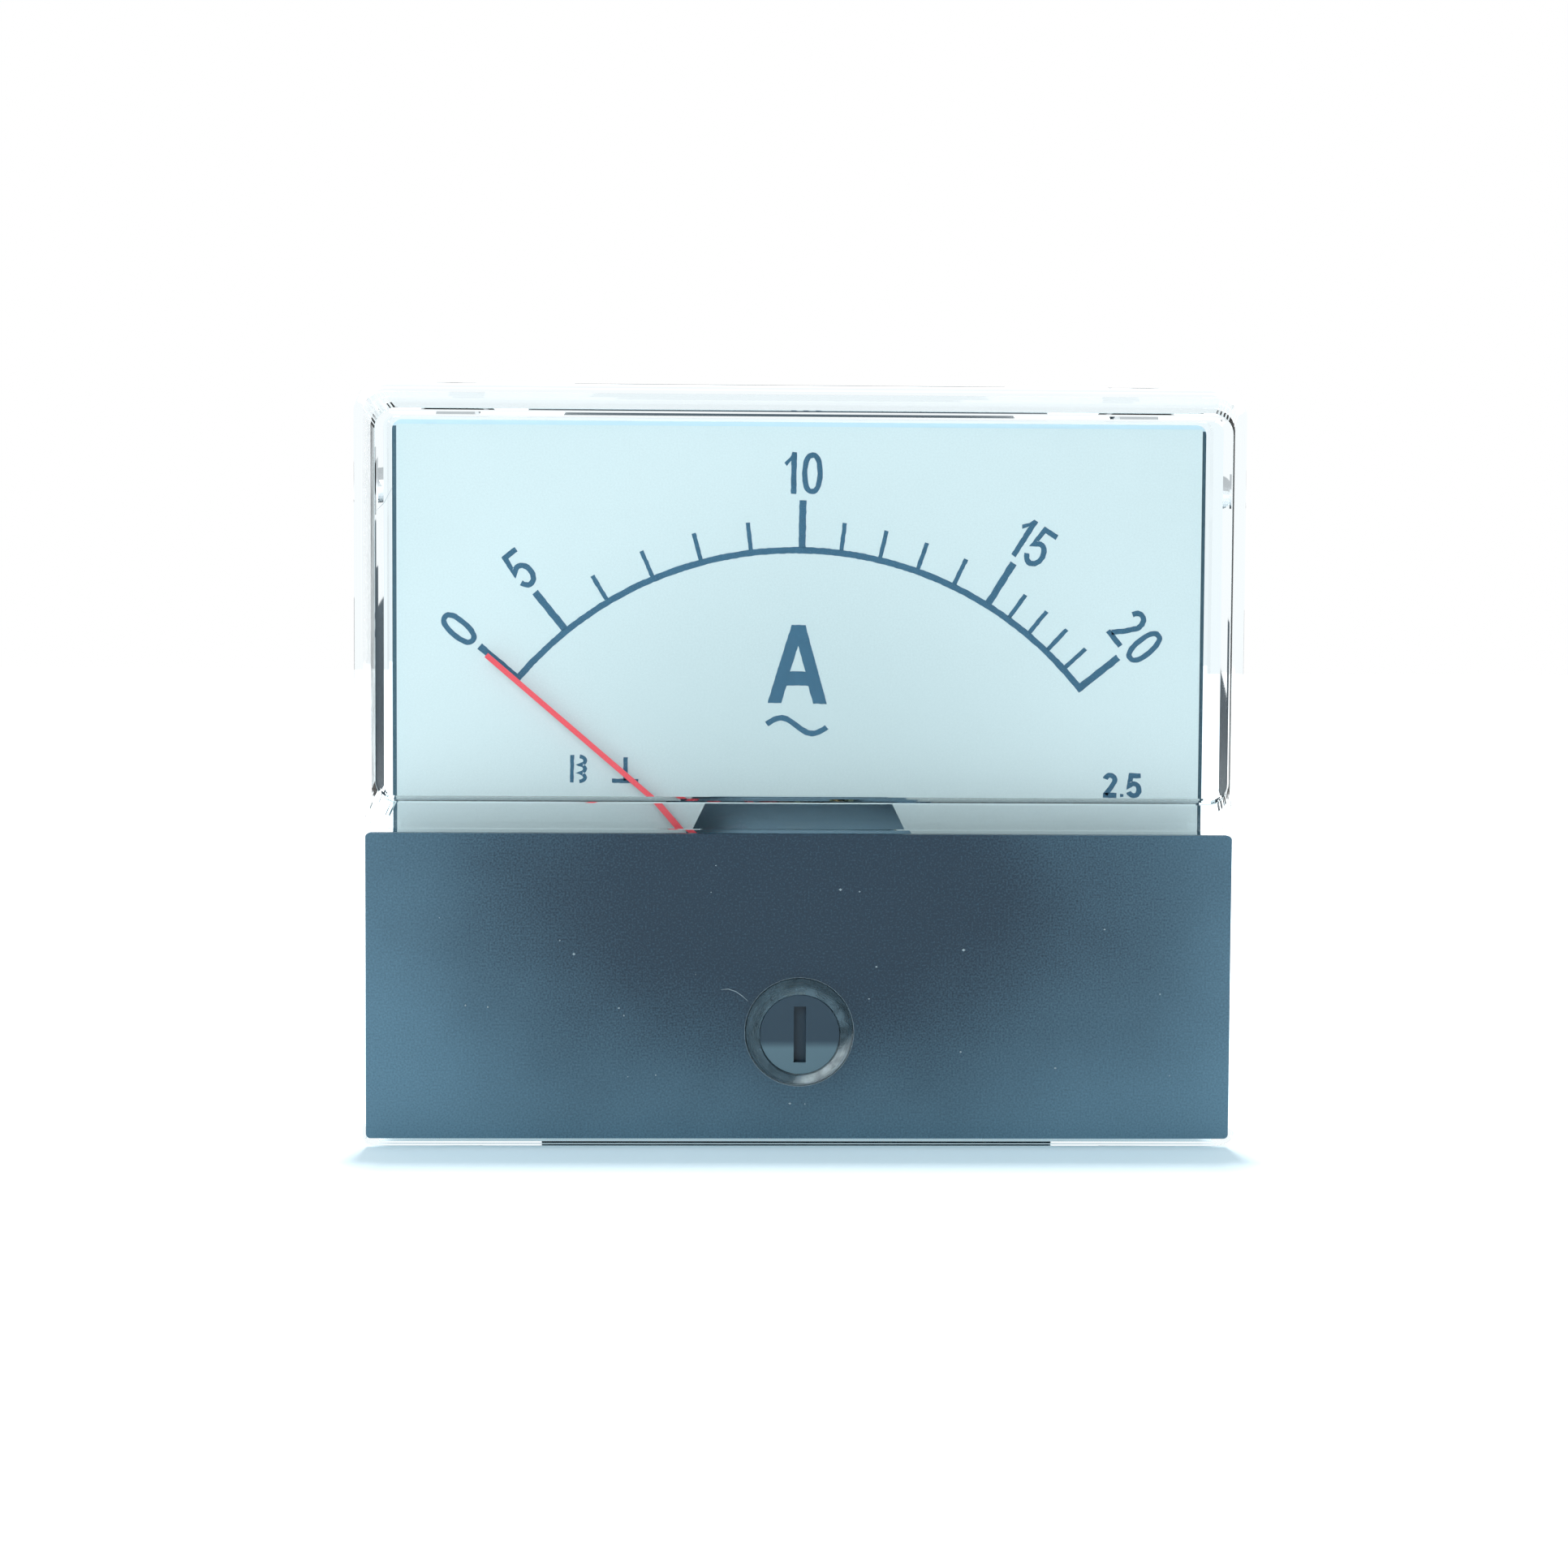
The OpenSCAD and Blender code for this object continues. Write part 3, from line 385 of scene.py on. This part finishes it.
# Screen-printing ink: blue-black, matt, a hair above the paint.
INK = finish_of("screen_ink_blue_black", "#3a6a85", "#255069", 0.8, 0.55, ior=1.5, grain_mm=0.2,
                speckle=0.5)
# House dust: pale grey lint.
DUST = finish_of("lint_pale", "#9fb4bf", "#8aa1ad", 0.3, 0.8)


def dress_cad_nodes():
    """Gives every CAD node the finish of its slot in the record."""
    slots = {part["node"]: part["material_slot"] for part in frame["record"]["subparts"]}
    for name, node in nodes.items():
        node.data.materials.clear()
        node.data.materials.append(FINISHES[slots[name]])


# ------------------------------------------------------------------ pieces

def mesh_piece(name, verts, faces, material):
    """An object from plain mesh data that rides on the meter's body."""
    mesh = bpy.data.meshes.new(name)
    mesh.from_pydata(verts, [], faces)
    mesh.validate()
    mesh.update()
    mesh.materials.append(material)
    piece = bpy.data.objects.new(name, mesh)
    bpy.context.scene.collection.objects.link(piece)
    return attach(piece, "meter")


def reshaped(name, node_name, move):
    """A copy of a CAD node whose corners are moved, in the node's place."""
    node = nodes[node_name]
    mesh = node.data.copy()
    mesh.name = name
    piece = bpy.data.objects.new(name, mesh)
    piece.matrix_world = node.matrix_world.copy()
    back = node.matrix_world.inverted()
    for corner in mesh.vertices:
        corner.co = back @ move(node.matrix_world @ corner.co)
    mesh.update()
    bpy.context.scene.collection.objects.link(piece)
    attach(piece, "meter")
    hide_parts(node_name)
    return piece


# ------------------------------------------------------------ printed dial

def turned(points, angle, scale=1.0, shift=(0.0, 0.0)):
    """Scales, then turns clockwise, then moves flat points."""
    c, s = math.cos(angle), math.sin(angle)
    return [((x * c + z * s) * scale + shift[0], (-x * s + z * c) * scale + shift[1])
            for x, z in points]


def arc_points(centre, radius_x, radius_z, start, end, steps):
    """Points on an ellipse; angles are in degrees, clockwise from the top."""
    return [(centre[0] + radius_x * math.sin(math.radians(start + (end - start) * i / steps)),
             centre[1] + radius_z * math.cos(math.radians(start + (end - start) * i / steps)))
            for i in range(steps + 1)]


def offset_side(points, distance, closed):
    """Points beside a line at a distance, mitred at its bends."""
    side = []
    count = len(points)
    for i, here in enumerate(points):
        before = points[i - 1] if (closed or i > 0) else None
        after = points[(i + 1) % count] if (closed or i < count - 1) else None
        normals = []
        for a, b in ((before, here), (here, after)):
            if a is None or b is None:
                continue
            along = Vector((b[0] - a[0], b[1] - a[1])).normalized()
            normals.append(Vector((-along.y, along.x)))
        normal = sum(normals, Vector((0, 0))).normalized()
        reach = distance / max(normal.dot(normals[0]), 0.5)
        side.append((here[0] + normal.x * reach, here[1] + normal.y * reach))
    return side


def stroke(points, width, closed=False):
    """Outline loops of a line drawn with a flat pen."""
    left = offset_side(points, width / 2, closed)
    right = offset_side(points, -width / 2, closed)
    return [left, right] if closed else [left + right[::-1]]


def flat_solid(name, shapes, y_front, thickness, material):
    """One piece of thin closed plates; each shape is an outline with any holes."""
    verts, faces = [], []
    for loops in shapes:
        base = len(verts)
        flat = [p for loop in loops for p in loop]
        triangles = tessellate_polygon([[Vector((x, z, 0)) for x, z in loop] for loop in loops])
        verts += [(x, y_front, z) for x, z in flat] + [(x, y_front + thickness, z) for x, z in flat]
        total = len(flat)
        for a, b, c in triangles:
            (ax, az), (bx, bz), (cx, cz) = flat[a], flat[b], flat[c]
            area = (bx - ax) * (cz - az) - (bz - az) * (cx - ax)
            front = (a, b, c) if area > 0 else (a, c, b)
            faces.append([base + i for i in front])
            faces.append([base + total + i for i in reversed(front)])
        first = 0
        for k, loop in enumerate(loops):
            count = len(loop)
            area = sum(loop[i][0] * loop[(i + 1) % count][1] - loop[(i + 1) % count][0] * loop[i][1]
                       for i in range(count))
            outward = (area > 0) == (k == 0)
            for i in range(count):
                a, b = base + first + i, base + first + (i + 1) % count
                quad = [a, a + total, b + total, b] if outward else [b, b + total, a + total, a]
                faces.append(quad)
            first += count
    return mesh_piece(name, verts, faces, material)


def ragged(loop, step=0.22, depth=0.022):
    """Breaks an outline into short steps and moves each a little, as screen-printed ink spreads."""
    points = []
    for here, after in zip(loop, loop[1:] + loop[:1]):
        along = Vector(after) - Vector(here)
        count = max(int(along.length / step), 1)
        points += [tuple(Vector(here) + along * (i / count)) for i in range(count)]
    return [(x + random.uniform(-depth, depth), z + random.uniform(-depth, depth))
            for x, z in points]


def printed(name, shapes):
    """A printed mark on the dial, given in millimetres about the print's centre."""
    random.seed(name)
    placed = [[turned(ragged(loop), DIAL_SKEW, MM, PRINT_CENTRE) for loop in loops]
              for loops in shapes]
    return flat_solid(name, placed, dial_low.y - INK_THICKNESS, INK_THICKNESS, INK)


# Digits as pen strokes in a box that is 1 high, with the foot at 0; a pen's half width is left
# inside the box.
DIGIT_WIDTH = {"0": 0.5, "1": 0.3, "2": 0.48, "5": 0.48, ".": 0.13}
DIGIT_GAP = 0.13
HALF_PEN = 0.065


def digit_strokes(digit):
    """(points, closed) of each stroke of a digit; closed is None for a ready outline."""
    w = DIGIT_WIDTH[digit]
    if digit == "0":
        squared = [(math.copysign(abs(math.sin(a)) ** 0.8, math.sin(a)),
                    math.copysign(abs(math.cos(a)) ** 0.9, math.cos(a)))
                   for a in (2 * math.pi * i / 32 for i in range(32))]
        half_w, half_h = w / 2 - HALF_PEN, 0.5 - HALF_PEN
        return [([(w / 2 + half_w * x, 0.5 + half_h * z) for x, z in squared], True)]
    if digit == "1":
        flag = [(0.0, 0.74), (0.06, 0.66), (w - 0.13, 0.8), (w - 0.13, 0.0), (w, 0.0), (w, 1.0),
                (w - 0.11, 1.0), (w - 0.16, 0.87)]
        return [(flag, None)]
    if digit == "2":
        bowl = arc_points((w / 2, 0.71), w / 2 - HALF_PEN, 0.225, -75, 105, 14)
        return [(bowl + [(w * 0.55, 0.38), (0.085, 0.1)], False),
                ([(0.0, HALF_PEN), (w, HALF_PEN)], False)]
    if digit == "5":
        bowl = arc_points((w / 2 - 0.015, 0.325), w / 2 - 0.05, 0.26, -52, 248, 20)
        return [([(w - 0.02, 0.935), (0.115, 0.935), (0.065, 0.5)] + bowl[1:], False)]
    return [([(0.0, 0.0), (w, 0.0), (w, w), (0.0, w)], None)]


def number_shapes(text, height, pen, radius=0.0, angle=0.0, centre=(0.0, 0.0), widen=1.0):
    """Outlines of a number, raised by a radius, then turned by an angle, about a centre."""
    width = sum(DIGIT_WIDTH[d] for d in text) + DIGIT_GAP * (len(text) - 1)
    shapes, x = [], -width / 2
    for digit in text:
        for points, closed in digit_strokes(digit):
            placed = [((px + x) * height * widen, (pz - 0.5) * height) for px, pz in points]
            loops = [placed] if closed is None else stroke(placed, pen, closed)
            shapes.append([turned([(lx, lz + radius) for lx, lz in loop], angle, shift=centre)
                           for loop in loops])
        x += DIGIT_WIDTH[digit] + DIGIT_GAP
    return shapes


# The scale, in millimetres and degrees; a tick is (width, length).
ARC_RADIUS = 29.0
ARC_LINE = 0.5
ARC_END = 50.5
MAJOR_TICK = (0.56, 3.95)
MINOR_TICK = (0.34, 2.4)
NUMBER_RADIUS = 35.1
NUMBER_HEIGHT = 3.3
NUMBER_PEN = 0.42
SCALE_STEPS = [(0, -50.6), (5, -39.9), (10, 0.0), (15, 30.8), (20, 50.5)]
NUMBER_SHIFT = {0: 0.0, 5: 0.4, 10: 0.0, 15: 0.7, 20: -0.6}


def scale_marks():
    """(angle in degrees, is major) of each mark; none between 0 and 5."""
    marks = [(SCALE_STEPS[0][1], True)]
    for (low, start), (high, end) in zip(SCALE_STEPS, SCALE_STEPS[1:]):
        parts = 1 if low == 0 else high - low
        for i in range(1, parts + 1):
            marks.append((start + (end - start) * i / parts, i == parts))
    return marks


def scale_print():
    """The arc with its marks."""
    half = math.degrees(MAJOR_TICK[0] / 2 / ARC_RADIUS)
    arc = arc_points((0, 0), ARC_RADIUS, ARC_RADIUS, -ARC_END - half, ARC_END + half, 72)
    shapes = [stroke(arc, ARC_LINE)]
    for angle, major in scale_marks():
        width, length = MAJOR_TICK if major else MINOR_TICK
        start = ARC_RADIUS + ARC_LINE * 0.45
        tick = [(-width / 2, start), (width / 2, start), (width / 2, ARC_RADIUS + length),
                (-width / 2, ARC_RADIUS + length)]
        shapes.append([turned(tick, math.radians(angle))])
    return printed("scale_print", shapes)


def scale_numbers():
    """The numbers over the major marks, turned with the scale."""
    shapes = []
    for value, angle in SCALE_STEPS:
        shapes += number_shapes(str(value), NUMBER_HEIGHT, NUMBER_PEN, NUMBER_RADIUS,
                                math.radians(angle + NUMBER_SHIFT[value]))
    return printed("scale_numbers", shapes)


def unit_letter():
    """The capital A of the unit, bold, over the wave that stands for alternating current."""
    height, half, leg, top = 6.25, 2.37, 1.1, 0.55
    middle, foot = -0.16, 16.82
    slope = (half - top) / height
    bar_low, bar_high, peak = 1.42, 2.55, 4.6
    wave_height, wave_rise, wave_pen = 15.05, 0.6, 0.44
    inner = half - leg
    outer = [(-half, 0), (-inner, 0), (-inner + slope * bar_low, bar_low),
             (inner - slope * bar_low, bar_low), (inner, 0), (half, 0), (top, height),
             (-top, height)]
    hole = [(-0.62, bar_high), (0.62, bar_high), (0.0, peak)]
    letter = [[(x + middle, z + foot) for x, z in loop] for loop in (outer, hole)]
    wave = [(middle + x * 0.1, wave_height - wave_rise * math.sin(math.pi * x / 25.0))
            for x in range(-24, 25, 2)]
    return printed("unit_letter", [letter, stroke(wave, wave_pen)])


def grade_number():
    """The plain number at the lower right."""
    height, pen = 1.85, 0.4
    return printed("grade_number",
                   number_shapes("2.5", height, pen, centre=(26.0, 10.72), widen=1.22))


def dial_symbols():
    """Two plain symbols at the lower left: a moving-iron movement, and an upright dial."""
    left, mid = -17.4, 11.3
    coil = []
    for k in range(3):
        turn = arc_points((left, mid - 0.66 + 0.66 * k), 0.44, 0.33, 180, 0, 8)
        coil += turn if k == 0 else turn[1:]
    iron = [(left - 0.6, mid - 1.1), (left - 0.6, mid + 1.1)]
    base = [(left + 2.6, mid - 0.9), (left + 4.7, mid - 0.9)]
    stem = [(left + 3.65, mid - 0.85), (left + 3.65, mid + 1.0)]
    return printed("dial_symbols", [stroke(coil, 0.3), stroke(iron, 0.3), stroke(base, 0.34),
                                    stroke(stem, 0.34)])


# ----------------------------------------------------- reshaped CAD pieces

def window_cover():
    """The clear cover with the lower edge of its window's face lifted.

    The solid's face reaches 0.73 mm too low. The lower side now rises evenly from its root.
    """
    side_low, side_high, root = -4.9 * MM, -0.4 * MM, -6.4 * MM
    depth, lift = 8.2 * MM, 0.73 * MM

    def move(place):
        if place.y < root - 0.01 * MM and side_low < place.z < side_high:
            place.z += lift * (root - place.y) / depth
        return place
    return reshaped("window_cover", "cover", move)


def dial_sheet():
    """The dial plate with the upper edge of its opening raised.

    At the cover's low index the opening is seen too low, and this makes up for it.
    """
    edge_low, edge_high, half_width, lift = -8 * MM, 2 * MM, 10 * MM, 1.0 * MM

    def move(place):
        if abs(place.x) < half_width and edge_low < place.z < edge_high:
            place.z += lift
        return place
    return reshaped("dial_sheet", "dial_plate", move)


# ---------------------------------------------------------- threaded studs

# Corners round each stud.
ROUND = 30


def revolve(verts, faces, x, z, rings):
    """Adds a closed body along Y from rings of (y, radius); a radius may depend on the turn."""
    base = len(verts)
    for y, radius in rings:
        for k in range(ROUND):
            turn = k / ROUND
            r = radius(turn) if callable(radius) else radius
            angle = 2 * math.pi * turn
            verts.append((x + r * math.cos(angle), y, z + r * math.sin(angle)))
    last = len(rings) - 1
    for i in range(last):
        for k in range(ROUND):
            a, b = base + i * ROUND + k, base + i * ROUND + (k + 1) % ROUND
            faces.append([a, b, b + ROUND, a + ROUND])
    faces.append([base + k for k in reversed(range(ROUND))])
    faces.append([base + last * ROUND + k for k in range(ROUND)])


def thread_rings(radius, pitch, front, back):
    """Rings of a plain V thread, chamfered at its free end."""
    depth, chamfer_length, rings_per_pitch = 0.6 * pitch, 1.2 * pitch, 6
    count = int((back - front) / pitch * rings_per_pitch)
    rings = []
    for i in range(count + 1):
        y = front + (back - front) * i / count
        chamfer = max(0.0, 1 - (back - y) / chamfer_length)

        def at_turn(turn, y=y, chamfer=chamfer):
            dip = abs(((y / pitch) + turn) % 1.0 - 0.5) * 2
            return radius - depth * max(dip, chamfer)
        rings.append((y, at_turn))
    return rings


def studs_piece(name, node, places, radius, pitch, heads, material):
    """Threaded studs in place of plain rods; heads are the rings before the thread."""
    _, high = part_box(node)
    thread = thread_rings(radius, pitch, heads[-1][0], high.y)
    verts, faces = [], []
    for x, z in places:
        revolve(verts, faces, x, z, heads + thread)
    piece = mesh_piece(name, verts, faces, material)
    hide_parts(node)
    return piece


def mounting_studs():
    """Four steel studs, M3, pressed into the base from the front."""
    low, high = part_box("mounting_studs")
    head, shoulder, radius, pitch = 2.75 * MM, 1.9 * MM, 1.5 * MM, 0.5 * MM
    bevel, head_back = 0.2 * MM, low.y + 1 * MM
    dx, dz = high.x - head, high.z - head
    heads = [(low.y, head - bevel), (low.y + bevel, head), (head_back, head),
             (head_back, shoulder), (-0.01 * MM, shoulder), (0.0, radius)]
    places = [(sx * dx, sz * dz) for sx in (-1, 1) for sz in (-1, 1)]
    return studs_piece("mounting_studs_threaded", "mounting_studs", places, radius, pitch, heads,
                       FINISHES["steel"])


def hexagon(flats):
    """Radius of a hexagon by its width across flats, as a function of the turn."""
    return lambda turn: flats / 2 / math.cos((turn * 2 * math.pi) % (math.pi / 3) - math.pi / 6)


def terminal_studs():
    """Two brass studs, M4, with hexagon heads inside the barrel."""
    low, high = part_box("terminal_studs")
    flats, radius, pitch = 7 * MM, 2 * MM, 0.7 * MM
    head_back = low.y + 1.6 * MM
    dx = high.x - flats / 2
    heads = [(low.y, hexagon(flats)), (head_back, hexagon(flats)), (head_back, radius)]
    return studs_piece("terminal_studs_threaded", "terminal_studs", [(-dx, 0.0), (dx, 0.0)],
                       radius, pitch, heads, FINISHES["brass"])


# -------------------------------------------------------- dust and fibres

def fibre(name, points_mm, y, radius):
    """A closed, thin tube along a line of (x, z) points, tapered at its ends."""
    sides, end_taper = 5, 0.35
    points = [Vector((x * MM, y, z * MM)) for x, z in points_mm]
    last = len(points) - 1
    verts, faces = [], []
    for i, here in enumerate(points):
        ahead = points[min(i + 1, last)] - points[max(i - 1, 0)]
        side = ahead.cross(Vector((0, 1, 0))).normalized()
        up = side.cross(ahead).normalized()
        taper = end_taper if i in (0, last) else 1.0
        for k in range(sides):
            turn = 2 * math.pi * k / sides
            verts.append(here + (side * math.cos(turn) + up * math.sin(turn)) * radius * taper)
    for i in range(last):
        for k in range(sides):
            a, b = i * sides + k, i * sides + (k + 1) % sides
            faces.append([a, a + sides, b + sides, b])
    faces.append(list(range(sides)))
    faces.append([len(verts) - 1 - k for k in range(sides)])
    return mesh_piece(name, verts, faces, DUST)


def hair_on_panel():
    """A short fibre that lies on the black panel, to the left of the adjuster."""
    line = ((-6.2, -17.35), (-5.6, -17.3), (-5.0, -17.5), (-4.5, -17.85), (-4.05, -18.25))
    return fibre("hair_on_panel", line, panel_low.y - 0.05 * MM, 0.026 * MM)


def fibre_on_window():
    """A short pale fibre that clings to the window's face at its left edge."""
    line = ((-32.2, 19.6), (-31.6, 20.2), (-30.9, 21.5))
    return fibre("fibre_on_window", line, cad_box[0].y - 0.03 * MM, 0.02 * MM)


def dust_specks():
    """Specks of dust strewn over the black panel, but for its edges and the adjuster."""
    random.seed(7)
    count, edge, hole_r = 26, 2 * MM, 5 * MM
    corners = ((-1, 0, 0), (1, 0, 0), (0, 0, -1), (0, 0, 1), (0, -0.5, 0), (0, 0.5, 0))
    sides = ((0, 2, 4), (2, 1, 4), (1, 3, 4), (3, 0, 4), (2, 0, 5), (1, 2, 5), (3, 1, 5), (0, 3, 5))
    verts, faces = [], []
    for _ in range(count):
        x = random.uniform(panel_low.x + edge, panel_high.x - edge)
        z = random.uniform(panel_low.z + edge, panel_high.z - edge)
        size = random.uniform(0.04, 0.11) * MM
        if math.hypot(x - ADJUSTER_X, z - ADJUSTER_Z) < hole_r:
            continue
        stretch = random.uniform(0.6, 1.6)
        y = panel_low.y - 0.4 * size
        faces += [[len(verts) + i for i in side] for side in sides]
        verts += [(x + dx * size * stretch, y + dy * size, z + dz * size) for dx, dy, dz in corners]
    return mesh_piece("dust_specks", verts, faces, DUST)


# ----------------------------------------------------- floor, light, camera

def soft_box(name, place, size, power):
    """A square lamp that faces the meter and isn't mirrored in it."""
    lamp = bpy.data.lights.new(name, "AREA")
    lamp.size = size
    lamp.energy = power
    box = bpy.data.objects.new(name, lamp)
    box.location = place
    box.rotation_euler = (-Vector(place)).to_track_quat("-Z", "Y").to_euler()
    box.visible_glossy = False
    bpy.context.scene.collection.objects.link(box)


def white_room():
    """White surroundings; they light less from the front, where the onlooker stands."""
    world = bpy.data.worlds.new("white_room")
    bpy.context.scene.world = world
    world.use_nodes = True
    tree = world.node_tree
    tree.nodes.clear()
    heading = add(tree, "ShaderNodeTexCoord").outputs["Generated"]
    facing = add(tree, "ShaderNodeVectorMath", {"operation": "DOT_PRODUCT", 1: (0.0, -1.0, 0.0)},
                 {0: heading}).outputs["Value"]
    level = calc(tree, "MULTIPLY_ADD", rise(tree, facing, 0.72, 0.98), -0.25, 0.5)
    seen = add(tree, "ShaderNodeBackground", {"Color": linear("#ffffff"), "Strength": 1.0})
    lit = add(tree, "ShaderNodeBackground", {"Color": linear("#f6fbfc")}, {"Strength": level})
    mixed = add(tree, "ShaderNodeMixShader", {},
                {0: straight_rays(tree), 1: lit.outputs[0], 2: seen.outputs[0]})
    output = tree.nodes.new("ShaderNodeOutputWorld")
    tree.links.new(mixed.outputs[0], output.inputs["Surface"])


def floor_and_light():
    """A white board under the meter, white surroundings and two soft boxes."""
    level, reach = cad_box[0].z, 3.0
    corners = ((-1, -1), (1, -1), (1, 1), (-1, 1))
    mesh = bpy.data.meshes.new("floor_board")
    mesh.from_pydata([(sx * reach, sy * reach, level) for sx, sy in corners], [], [[0, 1, 2, 3]])
    mesh.materials.append(floor_white())
    floor = bpy.data.objects.new("floor_board", mesh)
    bpy.context.scene.collection.objects.link(floor)
    white_room()
    soft_box("softbox_upper_left", (-0.17, -0.34, 0.2), size=0.2, power=0.75)
    soft_box("softbox_above", (0.0, 0.13, 0.6), size=0.07, power=3.8)


def camera():
    """A short telephoto view, close to square on and a little from the left."""
    place = Vector((-6.95, -218.2, 10.25)) * MM
    pitch, yaw, roll = (math.radians(a) for a in (-3.097, -1.533, -0.32))
    turn = (Matrix.Rotation(yaw, 4, "Z") @ Matrix.Rotation(pitch, 4, "X")
            @ Matrix.Rotation(roll, 4, "Y") @ Matrix.Rotation(math.pi / 2, 4, "X"))
    lens = bpy.data.cameras.new("view_camera")
    lens.sensor_width = 36.0
    lens.lens = 61.9
    lens.clip_start = 0.005
    lens.clip_end = 20.0
    view = bpy.data.objects.new("view_camera", lens)
    view.matrix_world = Matrix.Translation(place) @ turn
    bpy.context.scene.collection.objects.link(view)
    bpy.context.scene.camera = view


bpy.context.scene.view_settings.view_transform = "Standard"
floor_and_light()
camera()
dress_cad_nodes()
scale_print()
scale_numbers()
unit_letter()
grade_number()
dial_symbols()
window_cover()
dial_sheet()
mounting_studs()
terminal_studs()
hair_on_panel()
fibre_on_window()
dust_specks()
